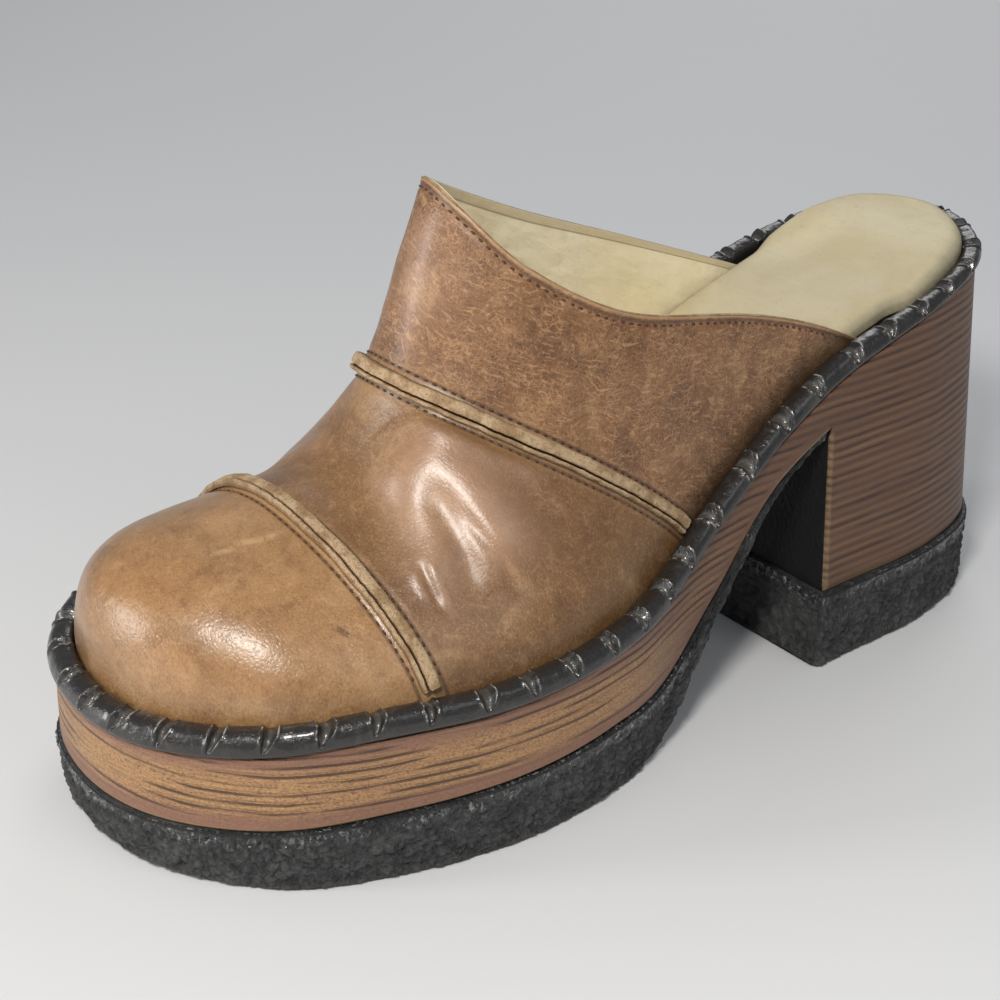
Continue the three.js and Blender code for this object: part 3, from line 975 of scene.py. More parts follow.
    def mix(self, share: Number, first: object, second: object) -> bpy.types.NodeSocket:
        """Mixes two colours.

        Args:
            share: Share of the second.
            first: A colour or colour socket.
            second: A colour or colour socket.

        Returns:
            The mixed colour's socket.
        """
        node = self.node("ShaderNodeMix", {"data_type": "RGBA"}, {})
        self.feed(node.inputs[0], share)
        self.feed(node.inputs[6], first)
        self.feed(node.inputs[7], second)
        return node.outputs[2]

    def layered(self, base: object, *coats: tuple[Number, object]) -> bpy.types.NodeSocket:
        """Lays coats of colour over one another.

        Args:
            base: The lowest colour.
            *coats: Share and colour of each coat, the lowest first.

        Returns:
            The finished colour's socket.
        """
        for share, colour in coats:
            base = self.mix(share, base, colour)
        return base

    def bump(
        self, relief: Term, depth: float, under: bpy.types.NodeSocket | None = None
    ) -> bpy.types.NodeSocket:
        """Fine relief for the surface's normal.

        Args:
            relief: The relief, 0 to 1.
            depth: Its depth in metres.
            under: Normal of a coarser relief below it.

        Returns:
            The normal's socket.
        """
        inputs = {"Height": relief, "Distance": depth, "Strength": 1.0}
        if under is not None:
            inputs["Normal"] = under
        return self.node("ShaderNodeBump", {}, inputs).outputs[0]

    def dress(self, **sockets: object) -> bpy.types.Material:
        """Feeds the surface shader, an input's name written with underscores.

        Args:
            **sockets: Values, terms or sockets.

        Returns:
            The material.
        """
        for name, value in sockets.items():
            self.feed(self.surface.inputs[name.replace("_", " ")], value)
        return self.material


class Finish:
    """A finish that makes its own material."""

    def material(self) -> bpy.types.Material:
        """The finish's material."""
        raise NotImplementedError


@dataclass(frozen=True)
class WaxedLeather(Finish):
    """Tan-brown waxed leather: fine hair grain, dark pores, pale wisps and rubbed highs."""

    toe: Colour = paint(162, 121, 78)
    vamp: Colour = paint(127, 91, 54)
    instep: Colour = paint(128, 88, 52)
    dark: Colour = paint(84, 50, 24)
    deep: Colour = paint(60, 36, 20)
    rubbed: Colour = paint(206, 168, 122)
    rosy_highlight: Colour = paint(186, 146, 118)
    olive: Colour = paint(128, 110, 78)
    wisp: Colour = paint(210, 164, 122)
    shadow: Colour = paint(52, 40, 28)
    grain_depth: float = 0.00010
    mottle_depth: float = 0.00009

    def material(self) -> bpy.types.Material:
        """Toe, vamp and instep panels in one material, told apart by the painted panel."""
        shade = Shader("waxed_leather")
        panel, fold_gloss_and_highlight = shade.painted("panel"), shade.painted("fold_gloss_and_highlight")
        seam, edge = shade.painted("seam"), shade.painted("edge")
        foot, left = shade.painted("foot"), shade.painted("flank")
        marked = shade.painted("marked")
        vamp, instep = panel.rise(0.4, 0.6), panel.rise(1.4, 1.6)
        clouds = shade.noise(20, 4, 0.6, 0.5)
        blotches = shade.noise(75, 5, 0.62, 0.4)
        mottle = shade.noise(330, 4, 0.65, 0.6)
        hair = shade.noise(1, 3, 0.6, 0.4, shade.stretched((2300, 2300, 1300)))
        pebbles = shade.cells(1150, "F1", shade.bent(420, 0.0012))
        pores = shade.cells(
            1, "F1", shade.stretched((430, 430, 700), (0, 24, 12), shade.bent(260, 0.0022))
        )
        web = self._web(shade, (480, 480, 950), (0, -24, 10), 120)
        web = web.most(self._web(shade, (900, 900, 1500), (0, 18, -16), 90) * 0.8)
        strokes = shade.noise(
            1, 3, 0.6, 0.6, shade.stretched((330, 330, 1500), (14, -20, 10), shade.bent(60, 0.012))
        )
        wrinkle = self._wrinkles(shade)
        coats = [
            (vamp, self.vamp),
            (instep, self.instep),
            (left * (1 - instep) * 0.35, self.olive),
        ]
        for cloud, low, high, darker, paler in (
            (clouds, 0.30, 0.74, 0.36 + 0.08 * instep, 0.35),
            (blotches, 0.34, 0.72, 0.28 + 0.30 * instep, 0.30),
            (mottle, 0.34, 0.70, 0.20 + 0.16 * instep, 0.20),
            (hair, 0.36, 0.68, 0.26, 0.24),
        ):
            coats.append((cloud.rise(0.50, low) * darker, self.dark))
            coats.append((cloud.rise(0.54, high) * paler, self.rubbed))
        speckled = pores.rise(0.28, 0.14) * blotches.rise(0.56, 0.42) * (0.12 + 0.88 * instep)
        base = shade.layered(
            self.toe,
            *coats,
            (strokes.rise(0.46, 0.34) * (0.08 + 0.30 * instep), self.dark),
            (strokes.rise(0.54, 0.68) * (0.12 + 0.26 * instep), self.wisp),
            (web * (0.10 + 0.24 * instep), self.wisp),
            (speckled * 0.42, self.deep),
            # painted pink highlight on the shiny fold ridges
            (fold_gloss_and_highlight * 0.55, self.rosy_highlight),
            (wrinkle.rise(0.58, 0.72) * 0.40, self.wisp),
            (seam.rise(5.6, 2.4) * 0.20 * (0.5 + blotches), self.rubbed),
            # painted shade in the stitch grooves beside the raised seams
            (seam.rise(2.4, 2.9) * seam.rise(3.8, 3.3) * 0.60, self.deep),
            (edge.rise(2.0, 1.4) * edge.rise(0.7, 1.1) * 0.55, self.deep),
            (edge.rise(0.9, 0.3) * 0.45, self.rubbed),
            (marked.rise(0.1, 0.9) * mottle.rise(0.40, 0.58) * 0.5, self.rubbed),
            ((0 - marked).rise(0.2, 0.7) * 0.5, self.deep),
            (foot.rise(15.0, 5.0) * (0.14 + 0.12 * vamp + 0.42 * instep), self.shadow),
        )
        relief = hair * 0.35 + pebbles.rise(0.0, 0.6) * 0.45 - speckled * 0.7 + strokes * 0.4
        coarse = shade.bump(mottle, self.mottle_depth)
        gloss = 0.33 + 0.08 * vamp + 0.08 * instep - 0.04 * fold_gloss_and_highlight + (blotches - 0.5) * 0.20
        return shade.dress(
            Base_Color=base,
            Roughness=(gloss + (hair - 0.5) * 0.12).clamped(),
            Specular_IOR_Level=0.6,
            Coat_Weight=(0.45 - 0.14 * instep + 0.40 * fold_gloss_and_highlight).clamped(),
            Coat_Roughness=0.35,
            Normal=shade.bump(relief + wrinkle * 1.5, self.grain_depth, coarse),
        )

    @staticmethod
    def _web(shade: Shader, scale: Triple, turn: Triple, spread: float) -> Term:
        """Thin joined lines, as in leather that has been bent often.

        Args:
            shade: The material.
            scale: Cells of the web in a metre, in each direction.
            turn: Turn of the web, in degrees.
            spread: Lumps in a metre of the zones that have lines.

        Returns:
            The lines, 0 to 1.
        """
        where = shade.stretched(scale, turn, shade.bent(200, 0.005))
        line = shade.cells(1, "DISTANCE_TO_EDGE", where).rise(0.085, 0.015)
        return line * shade.noise(spread, 3).rise(0.40, 0.62)

    @staticmethod
    def _wrinkles(shade: Shader) -> Term:
        """Fine wrinkles that run along painted patches, 0.5 where there are none."""
        mask = shade.painted("wrinkled")
        where = shade.vector(
            shade.painted("wrinkle_across") * 0.95, shade.painted("wrinkle_run") * 0.13, 0.0
        )
        return (shade.noise(1, 3, 0.6, 0.5, where) - 0.5) * mask + 0.5


@dataclass(frozen=True)
class RawEdge(Finish):
    """Cut leather edges: pale and fibrous on top, brown down the sides."""

    cut: Colour = paint(194, 166, 130)
    worn: Colour = paint(158, 128, 92)
    side: Colour = paint(104, 72, 44)
    groove: Colour = paint(40, 24, 14)
    fibre_depth: float = 0.0004
    nap_depth: float = 0.00012

    def material(self) -> bpy.types.Material:
        """Pale on top, with painted shade in the groove."""
        shade = Shader("raw_leather_edge")
        top = shade.painted("top")
        fibre = shade.noise(1500, 4, 0.75, 0.6)
        nap = shade.noise(2600, 2)
        patches = shade.noise(240, 3)
        return shade.dress(
            Base_Color=shade.layered(
                self.worn,
                (patches.rise(0.36, 0.60), self.cut),
                (fibre.rise(0.50, 0.34) * 0.60, self.side),
                (top.rise(0.75, 0.40), self.side),
                # painted shade in the narrow groove between the two lips
                (top.rise(0.28, 0.08), self.groove),
            ),
            Roughness=(0.66 + patches * 0.22).clamped(),
            Normal=shade.bump(nap, self.nap_depth, shade.bump(fibre, self.fibre_depth)),
        )


@dataclass(frozen=True)
class CreamLeather(Finish):
    """Smooth cream leather of the lining and the insole, slightly soiled."""

    name: str = "cream_leather"
    cream: Colour = paint(250, 239, 206)
    warm: Colour = paint(240, 225, 186)
    dusty: Colour = paint(150, 142, 120)
    bound: Colour = paint(206, 188, 150)
    thread_line: Colour = paint(84, 66, 44)
    crimp_depth: float = 0.0006
    grain_depth: float = 0.0001

    def material(self) -> bpy.types.Material:
        """Cream, warmer in patches, dusty along borders and bound along the topline."""
        shade = Shader(self.name)
        border, rim = shade.painted("border"), shade.painted("rim")
        patches = shade.noise(26, 4, 0.6, 0.4)
        specks = shade.noise(520, 4, 0.7)
        smudges = shade.noise(60, 4, 0.6, 0.3)
        grain = shade.cells(1200, "F1", shade.bent(500, 0.001))
        crimps = shade.noise(1, 2, 0.4, 0.3, shade.stretched((40, 110, 330), (34, 0, 0)))
        relief = grain.rise(0.0, 0.5) * 0.4 + specks * 0.3
        return shade.dress(
            Base_Color=shade.layered(
                self.cream,
                (patches.rise(0.36, 0.66), self.warm),
                (smudges.rise(0.56, 0.76) * 0.28, self.dusty),
                (specks.rise(0.58, 0.74) * 0.26, self.dusty),
                (border * (0.35 + 0.6 * specks), self.dusty),
                (rim.rise(2.2, 2.0) * 0.8, self.bound),
                (rim.rise(1.7, 2.0) * rim.rise(2.4, 2.1) * 0.5, self.thread_line),
            ),
            Roughness=(0.46 + specks * 0.22).clamped(),
            Coat_Weight=0.06,
            Coat_Roughness=0.35,
            Normal=shade.bump(relief, self.grain_depth, shade.bump(crimps, self.crimp_depth)),
        )


@dataclass(frozen=True)
class StreakedWood(Finish):
    """Reddish-brown level wood grain, golden on the forefoot, darker at the heel as partly painted
    shade.
    """

    brown: Colour = paint(96, 62, 46)
    golden: Colour = paint(184, 142, 90)
    rose: Colour = paint(140, 101, 80)
    dark: Colour = paint(86, 54, 42)
    line: Colour = paint(64, 38, 28)
    heel: Colour = paint(93, 62, 45)
    heel_light: Colour = paint(122, 89, 62)
    pale: Colour = paint(140, 122, 88)
    band_pitch: float = 0.0023
    relief_depth: float = 0.00042

    def material(self) -> bpy.types.Material:
        """Level layers, plain at the lower edge with a painted highlight on it, pale along the
        corners.
        """
        shade = Shader("streaked_wood")
        below, forward = shade.painted("below"), shade.painted("forward")
        corner = shade.painted("corner")
        waves = shade.bent(12, 0.0040)
        layers = shade.noise(1, 3, 0.6, 0.3, shade.stretched((9, 9, 240), (0, 0, 0), waves))
        flecks = shade.noise(1, 4, 0.75, 0.5, shade.stretched((1400, 1400, 2200), (18, 0, 0)))
        streaks = shade.noise(1, 3, 0.7, 0, shade.stretched((90, 90, 1500), (0, 0, 0), waves))
        patches = shade.noise(26, 3)
        broken = shade.noise(1, 2, 0.5, 0, shade.stretched((34, 34, 300), (0, 0, 0), waves))
        bands = shade.bands(self.band_pitch, 5.0, waves)
        plain = below.rise(1.8, 4.6)
        broken = broken.rise(0.40, 0.56).most((1 - forward) * 0.45) * plain
        groove = (bands.rise(0.30, 0.04) * broken * flecks.rise(0.25, 0.55)).clamped()
        crest = bands.rise(0.60, 0.95) * broken
        middle = below.rise(2.5, 6.5) * below.rise(17.5, 13.0)
        gold = middle * forward * (0.35 + patches)
        front = shade.mix((gold * flecks.rise(0.34, 0.60)).clamped(), self.rose, self.golden)
        # the heel's darker wood is partly its own tone and partly painted shade
        rear = shade.mix(layers.rise(0.30, 0.75) * 0.7, self.heel, self.heel_light)
        base = shade.layered(
            rear,
            (forward, front),
            (flecks.rise(0.54, 0.70) * (0.20 + 0.25 * forward), self.golden),
            (flecks.rise(0.50, 0.34) * 0.50, self.brown),
            (streaks.rise(0.47, 0.35) * 0.30 * plain, self.dark),
            (layers.rise(0.42, 0.28) * 0.20 * plain, self.dark),
            (crest * 0.16, self.golden),
            (groove * 0.80, self.line),
            # painted highlight along the wood's lower edge
            (below.rise(1.2, 0.7) * 0.60, self.pale),
            (corner.rise(1.3, 0.5) * 0.35, self.pale),
        )
        relief = crest * 0.4 - groove + flecks * 0.45 + streaks * plain * 0.4
        return shade.dress(
            Base_Color=base,
            Roughness=(0.42 + flecks * 0.22).clamped(),
            Coat_Weight=0.2,
            Coat_Roughness=0.32,
            Normal=shade.bump(relief, self.relief_depth),
        )


@dataclass(frozen=True)
class BlackCover(Finish):
    """Thin black covering of the arch and the heel breast."""

    black: Colour = paint(15, 15, 15)
    scuffed: Colour = paint(52, 49, 43)
    grain_depth: float = 0.00008
    scuff_depth: float = 0.0003

    def material(self) -> bpy.types.Material:
        """Black with dull scuffs."""
        shade = Shader("black_cover")
        scuffs = shade.noise(70, 5, 0.7, 0.8)
        grain = shade.cells(500, "DISTANCE_TO_EDGE", shade.bent(200, 0.003))
        coarse = shade.bump(scuffs, self.scuff_depth)
        return shade.dress(
            Base_Color=shade.mix(scuffs.rise(0.60, 0.78) * 0.5, self.black, self.scuffed),
            Roughness=(0.42 + scuffs * 0.3).clamped(),
            Normal=shade.bump(grain.rise(0.0, 0.3), self.grain_depth, coarse),
        )


@dataclass(frozen=True)
class CrepeRubber(Finish):
    """Black crepe rubber: dark in the cracks, dusty grey on the lumps, partly painted light and
    shade.
    """

    crack: Colour = paint(46, 47, 48)
    dusty: Colour = paint(92, 92, 92)
    earthy: Colour = paint(116, 110, 98)
    glossy_black_and_shadow: Colour = paint(24, 24, 26)
    painted_glint: Colour = paint(206, 208, 208)
    crumb_depth: float = 0.0009
    pit_depth: float = 0.0034

    def material(self) -> bpy.types.Material:
        """Mottled grey-black, with painted white highlights in a shiny band under its top edge."""
        shade = Shader("crepe_rubber")
        raised, top, low = shade.painted("raised"), shade.painted("top"), shade.painted("low")
        crumbs = shade.noise(1000, 4, 0.75, 0.4)
        pits = shade.noise(420, 4, 0.65, 0.8)
        clouds = shade.noise(90, 3)
        highlight_specks = shade.noise(1, 3, 0.7, 0.5, shade.stretched((900, 900, 520)))
        runs = shade.noise(38, 2)
        # paler raised lumps and darker cracks: partly dust, partly painted light and shade
        high = (raised * 0.35 + pits * 0.45 + crumbs * 0.45 + (clouds - 0.5) * 0.4).clamped()
        wet = top.rise(4.6, 2.0) * top.rise(0.2, 0.6) * runs.rise(0.38, 0.52)
        painted_glints = wet * highlight_specks.rise(0.54, 0.61)
        return shade.dress(
            Base_Color=shade.layered(
                self.crack,
                (high.rise(0.35, 0.85), self.dusty),
                (low.rise(2.2, 0.2) * 0.40 * crumbs, self.earthy),
                # darker band under the wood: black gloss and painted shadow
                (top.rise(5.5, 2.0) * 0.70, self.glossy_black_and_shadow),
                # painted white highlights in the shiny band under the top edge
                (painted_glints * (0.35 + 0.30 * runs), self.painted_glint),
            ),
            Roughness=(0.78 - 0.15 * clouds - 0.50 * wet).clamped(),
            Coat_Weight=(wet * 0.8).clamped(),
            Coat_Roughness=0.10,
            Normal=shade.bump(crumbs, self.crumb_depth, shade.bump(pits, self.pit_depth)),
        )


@dataclass(frozen=True)
class WeltRubber(Finish):
    """Black notched strip, polished on the pads and paler where it is cut."""

    black: Colour = paint(33, 31, 30)
    dusty: Colour = paint(78, 73, 67)
    sliced: Colour = paint(84, 81, 76)
    painted_glint: Colour = paint(186, 182, 174)
    nick_depth: float = 0.0003
    dust_depth: float = 0.0006

    def material(self) -> bpy.types.Material:
        """Black, grey in the notches, with painted pale highlights on their rims."""
        shade = Shader("welt_rubber")
        notch, rim = shade.painted("notch"), shade.painted("rim")
        dust = shade.noise(190, 4, 0.65, 0.5)
        nicks = shade.noise(620, 3, 0.6, 0.4)
        return shade.dress(
            Base_Color=shade.layered(
                self.black,
                (dust.rise(0.54, 0.74) * 0.45, self.dusty),
                (notch.rise(0.35, 0.9) * (0.35 + 0.5 * nicks), self.sliced),
                # painted pale highlights on the notch rims
                (rim.rise(0.55, 0.95) * nicks.rise(0.46, 0.62) * 0.70, self.painted_glint),
            ),
            Roughness=(0.22 + dust * 0.28).clamped(),
            Coat_Weight=0.6,
            Coat_Roughness=0.14,
            Normal=shade.bump(nicks, self.nick_depth, shade.bump(dust, self.dust_depth)),
        )


@dataclass(frozen=True)
class Thread(Finish):
    """Waxed sewing thread."""

    name: str = "brown_thread"
    colour: Colour = paint(74, 42, 20)
    worn: Colour = paint(132, 94, 58)
    ply_depth: float = 0.0001

    def material(self) -> bpy.types.Material:
        """Thread with twisted plies, worn pale here and there."""
        shade = Shader(self.name)
        plies = shade.noise(2600, 2)
        rubbed = shade.noise(300, 2)
        return shade.dress(
            Base_Color=shade.layered(
                self.colour,
                (rubbed.rise(0.56, 0.70) * 0.7, self.worn),
                (plies.rise(0.50, 0.66) * 0.4, self.worn),
            ),
            Roughness=(0.45 + plies * 0.3).clamped(),
            Normal=shade.bump(plies, self.ply_depth),
        )


@dataclass(frozen=True)
class Floor(Finish):
    """Plain pale studio floor."""

    pale: Colour = (0.80, 0.805, 0.815)

    def material(self) -> bpy.types.Material:
        """Pale paint, barely clouded."""
        shade = Shader("studio_floor")
        clouds = shade.noise(3, 2)
        darker = tuple(part * 0.97 for part in self.pale)
        return shade.dress(Base_Color=shade.mix(clouds, self.pale, darker), Roughness=0.75)


@dataclass
class Part:
    """A sub-assembly of the clog."""

    last: Last

    def piece(
        self,
        draft: MeshDraft,
        name: str,
        slot: Slot,
        finishes: Sequence[Finish],
        *nodes: str,
        crisp: float = 40,
    ) -> bpy.types.Object:
        """Builds a piece, ties it to the clog's body and hides the solids it stands for.

        Args:
            draft: What was gathered.
            name: The piece's name.
            slot: The record's slot; not used.
            finishes: Its finishes, in the order of their numbers.
            *nodes: Solids that it replaces.
            crisp: Angle in degrees over which an edge is shaded sharp.

        Returns:
            The piece.
        """
        piece = draft.build(name, [finish.material() for finish in finishes], crisp)
        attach(piece, ROOT_BODY)
        if nodes:
            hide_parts(*nodes)
        return piece

    def build(self) -> list[bpy.types.Object]:
        """Builds and dresses the sub-assembly's pieces."""
        raise NotImplementedError


def cosine_steps(start: float, end: float, count: int) -> Array:
    """Steps from start to end that are closer together at both ends."""
    return start + (end - start) * (1 - np.cos(np.linspace(0, math.pi, count))) / 2


def eased_steps(start: float, end: float, count: int) -> Array:
    """Steps from start to end that are closer together at the end."""
    return start + (end - start) * np.sin(np.linspace(0, math.pi / 2, count))


def rounded(distance: Array, radius: float) -> Array:
    """How far a rounded edge lies inside, at distances from its corner."""
    near = np.clip(1 - distance / radius, 0, 1)
    return radius * (1 - np.sqrt(1 - near**2))


def bridged(outer: Array, inner: Array, columns: int) -> Array:
    """Points between two edges, across the shoe.

    Args:
        outer: Points on the outer edge.
        inner: Points on the inner edge.
        columns: How many points across.

    Returns:
        Points, one row for each pair.
    """
    share = np.linspace(0, 1, columns)[None, :, None]
    return outer[:, None] * (1 - share) + inner[:, None] * share


@dataclass
class Slab:
    """Walls that follow the outline at stations along the shoe."""

    last: Last
    stations: Array

    def wall(self, side: Side, heights: Array, inset: Callable[[Array, Array], Array]) -> Array:
        """Points of a side wall.

        Args:
            side: Which side of the foot.
            heights: Heights, one row of stations for each level.
            inset: Gives the inset from places along and heights.

        Returns:
            Points, one row for each level.
        """
        along = np.broadcast_to(self.stations, heights.shape)
        across = self.last.across(self.stations, side, 0.0)
        out = self.last.outward(self.stations, side)
        depth = inset(along, heights)
        return self.last.place(along - out[:, 0] * depth, across - out[:, 1] * depth, heights)

    def outwards(self, side: Side) -> Array:
        """Outward directions of a side wall in the row frame."""
        out = self.last.outward(self.stations, side)
        return np.stack([out[:, 1], -out[:, 0], np.zeros(len(out))], axis=-1)

    def laid(self, outer: Array, inner: Array, columns: int, height: Callable) -> Array:
        """Points between two edges, those inside laid at a height.

        Args:
            outer: Points on the outer edge.
            inner: Points on the inner edge.
            columns: How many points across.
            height: Gives the height from places along.

        Returns:
            Points, one row for each station.
        """
        points = bridged(outer, inner, columns)
        inside = points[:, 1:-1]
        inside[..., 2] = height(self.last.along_of(inside))
        return points


@dataclass
class WoodUnit(Part):
    """The platform and block heel, moulded as one."""

    edge_radius: float = 0.7
    breast_radius: float = 1.1
    heel_stations: int = 120
    forepart_stations: int = 260
    side_levels: int = 26
    heel_levels: int = 36
    columns: int = 36
    golden_zone: tuple[float, float] = (88, 150)
    under_fade: float = 2.5
    far: float = 20.0

    def _inset(self, along: Array, height: Array) -> Array:
        """Inset of the wall, with the heel's flare and rounded edges."""
        last, s = self.last, self.last.sizes
        runout = 1 - smoothstep(along, s.breast_along, s.breast_along + s.flare_runout)
        drop = np.clip((s.seat_height - height) / (s.seat_height - s.lift_height), 0, 1)
        foot = s.lift_height + s.seat_gap
        lower = np.where(along < s.breast_along, foot, last.belly(along))
        soft = rounded(np.abs(height - lower), self.edge_radius)
        soft = soft + rounded(np.abs(last.deck(along) - height), self.edge_radius)
        behind = np.where(along <= s.breast_along, s.breast_along - along, self.far)
        under = smoothstep(last.belly(along) - height, 0.0, self.under_fade)
        corner = rounded(behind, self.breast_radius) * under
        return s.wood_inset - s.heel_flare * runout * drop + soft + corner

    def build(self) -> list[bpy.types.Object]:
        """Builds the unit with a wood side and a black arch and breast.

        Returns:
            The piece.
        """
        last, s = self.last, self.last.sizes
        heel, toe = last.span(0.0)
        stations = np.concatenate([
            cosine_steps(heel, s.breast_along, self.heel_stations),
            eased_steps(s.breast_along, toe, self.forepart_stations)[1:],
        ])
        breast = self.heel_stations - 1
        rear, front = Slab(last, stations[:breast + 1]), Slab(last, stations[breast:])
        slab = Slab(last, stations)
        foot = s.lift_height + s.seat_gap
        belly, deck = last.belly(stations), last.deck(stations)
        heights = belly + (deck - belly) * np.linspace(0, 1, self.side_levels)[:, None]
        levels = np.linspace(0, 1, self.heel_levels)[:, None]
        heel_heights = foot + (belly[:breast + 1] - foot) * levels
        # forward rises from the heel, whose darker wood is partly painted shade, to the golden
        # forefoot
        forward = smoothstep(stations, *self.golden_zone)
        draft = MeshDraft()
        edges: dict[Side, tuple[Array, ...]] = {}
        for side in Side:
            wall = slab.wall(side, heights, self._inset)
            lower = rear.wall(side, heel_heights, self._inset)
            for rows in (wall[:, breast], lower[:, breast]):
                rows[:, 1] = last.place(s.breast_along, 0, 0)[1]
            below = heights - np.where(np.arange(len(stations)) <= breast, foot, belly)
            draft.sheet(wall, 0, below=below, forward=forward[None], corner=self.far)
            corner = (s.breast_along - rear.stations)[None]
            draft.sheet(lower, 0, below=heel_heights - foot, forward=0.0, corner=corner)
            edges[side] = (wall[-1], wall[0], lower[0], lower[:, breast])
        outer, inner = edges[Side.OUTER], edges[Side.INNER]
        for face in (
            slab.laid(outer[0], inner[0], self.columns, last.deck),
            front.laid(outer[1][breast:], inner[1][breast:], self.columns, last.belly),
            bridged(outer[2], inner[2], self.columns),
            bridged(outer[3], inner[3], self.columns),
        ):
            draft.sheet(face, 1, below=self.far, corner=self.far)
        finishes = (StreakedWood(), BlackCover())
        return [self.piece(draft, "wood_platform", Slot.WOOD, finishes, "platform")]


@dataclass
class CrepeBlock:
    """One closed block of crepe, between two heights along the shoe."""

    name: str
    node: str
    stations: Array
    bottom: Callable[[Array], Array]
    top: Callable[[Array], Array]
    inset: Callable[[Array, Array], Array]
    levels: int
    seed: float


@dataclass
class CrepeSoles(Part):
    """The forefoot sole and the heel lift, cut from crinkled crepe."""

    relief: float = 1.5
    lump_size: float = 2.6
    flake_size: float = 4.6
    edge_radius: float = 1.3
    top_radius: float = 0.4
    corner_radius: float = 1.6
    wall_middle: float = 0.7
    face_middle: float = 0.75
    face_gain: float = 1.2
    face_limit: float = 0.2
    flat_fade: float = 1.5
    foot_quiet: float = 0.45
    foot_zone: float = 0.07
    top_zone: float = 0.94
    far: float = 20.0
    columns: int = 44
    hidden_columns: int = 10
    face_columns: int = 130
    forepart_stations: int = 430
    forepart_levels: int = 50
    lift_stations: int = 250
    lift_levels: int = 60

    def _crumpled(self, points: Array, size: float, seed: float) -> Array:
        """How far crepe is raised at points, mostly 0 to 1.

        Args:
            points: Points in millimetres.
            size: Size of its lumps.
            seed: Offset of the pattern.

        Returns:
            One value for each point.
        """
        blocks = lumps(points, size, seed)
        waves = rough(points, size * 1.8, 3, seed + 7)
        crumbs = rough(points, 1.2, 2, seed + 13)
        return np.clip(0.28 + 0.40 * blocks + 0.36 * waves + 0.16 * crumbs, 0, 1.1)

    def _side(
        self, block: CrepeBlock, side: Side, flat_ends: Sequence[int]
    ) -> tuple[Array, Array, Array, Array]:
        """A crumpled side wall of a block.

        Args:
            block: The block.
            side: Which side of the foot.
            flat_ends: Ends of the block that are cut flat, 0 or -1.

        Returns:
            Points, how far each is raised, and its distances from the bottom and the top.
        """
        low, high = block.bottom(block.stations), block.top(block.stations)
        share = np.linspace(0, 1, block.levels)[:, None]
        heights = low + (high - low) * share

        def inset(along: Array, height: Array) -> Array:
            """Inset with rounded edges."""
            soft = rounded(height - low, self.edge_radius)
            soft = soft + rounded(high - height, self.top_radius)
            return block.inset(along, height) + np.minimum(soft, self.edge_radius)

        slab = Slab(self.last, block.stations)
        wall = slab.wall(side, heights, inset)
        raised = self._crumpled(wall, self.lump_size, block.seed)
        foot = self.foot_quiet + (1 - self.foot_quiet) * smoothstep(share, 0.0, self.foot_zone)
        quiet = np.broadcast_to(foot * smoothstep(share, 1.0, self.top_zone), heights.shape)
        for end in flat_ends:
            away = np.abs(block.stations - block.stations[end])
            quiet = quiet * smoothstep(away, 0.0, self.flat_fade)
        shift = ((raised - self.wall_middle) * self.relief * quiet)[..., None]
        return wall + slab.outwards(side)[None] * shift, raised, heights - low, high - heights

    def _mould(self, block: CrepeBlock) -> bpy.types.Object:
        """Builds one block.

        Args:
            block: The block.

        Returns:
            The piece.
        """
        ends = block.stations[[0, -1]]
        outer_end, inner_end = (self.last.across(ends, side, 0.0) for side in Side)
        flat_ends = [end for end in (0, -1) if outer_end[end] - inner_end[end] > 1]
        draft = MeshDraft()
        edges: dict[Side, Array] = {}
        for side in Side:
            wall, raised, low, top = self._side(block, side, flat_ends)
            draft.sheet(wall, 0, raised=raised, low=low, top=top)
            edges[side] = wall
        outer, inner = edges[Side.OUTER], edges[Side.INNER]
        slab = Slab(self.last, block.stations)
        lid = slab.laid(outer[-1], inner[-1], self.hidden_columns, block.top)
        draft.sheet(lid, 0, raised=0.4, low=self.far, top=self.far)
        tread = slab.laid(outer[0], inner[0], self.columns, block.bottom)
        raised = self._crumpled(tread, self.lump_size, block.seed + 3)
        sunk = np.clip(1 - raised, 0, 1) * self.relief
        sunk[[0, -1]] = 0
        sunk[:, [0, -1]] = 0
        tread[..., 2] += sunk
        draft.sheet(tread, 0, raised=raised, low=self.far, top=self.far)
        for end in flat_ends:
            face = bridged(outer[:, end], inner[:, end], self.face_columns)
            raised = self._crumpled(face, self.flake_size, block.seed + 5)
            inside = (slice(1, -1), slice(1, -1))
            way = 1 if end == 0 else -1
            shift = (raised - self.face_middle)[inside] * self.relief * self.face_gain
            face[..., 1][inside] += np.minimum(shift, self.face_limit) * way
            top = face[-1:, :, 2] - face[..., 2]
            draft.sheet(face, 0, raised=raised, low=self.far, top=top)
        return self.piece(draft, block.name, Slot.CREPE, (CrepeRubber(),), block.node, crisp=70)

    def build(self) -> list[bpy.types.Object]:
        """Builds the two blocks.

        Returns:
            The pieces.
        """
        last, s = self.last, self.last.sizes
        heel, toe = last.span(0.0)
        front = s.breast_along + s.lift_proud
        reach = s.wood_inset - s.heel_flare - s.lift_proud

        def sole_inset(along: Array, height: Array) -> Array:
            """Inset of the forefoot sole, undercut near the floor."""
            low = np.clip(1 - height / (s.crepe_thickness / 2), 0, 1)
            return s.crepe_inset + s.crepe_undercut * low

        def lift_inset(along: Array, height: Array) -> Array:
            """Inset of the heel lift, rounded at its breast corners."""
            draft = s.lift_draft * (1 - height / s.lift_height)
            return reach + draft + rounded(front - along, self.corner_radius)

        sole = CrepeBlock(
            "crepe_forefoot", "outsole_forefoot",
            eased_steps(s.breast_along + s.seat_gap, toe, self.forepart_stations),
            last.tread, lambda along: last.belly(along) - s.seat_gap, sole_inset,
            self.forepart_levels, 11.0,
        )
        lift = CrepeBlock(
            "crepe_heel_lift", "heel_lift", cosine_steps(heel, front, self.lift_stations),
            np.zeros_like, lambda along: np.full_like(along, s.lift_height), lift_inset,
            self.lift_levels, 23.0,
        )
        return [self._mould(sole), self._mould(lift)]


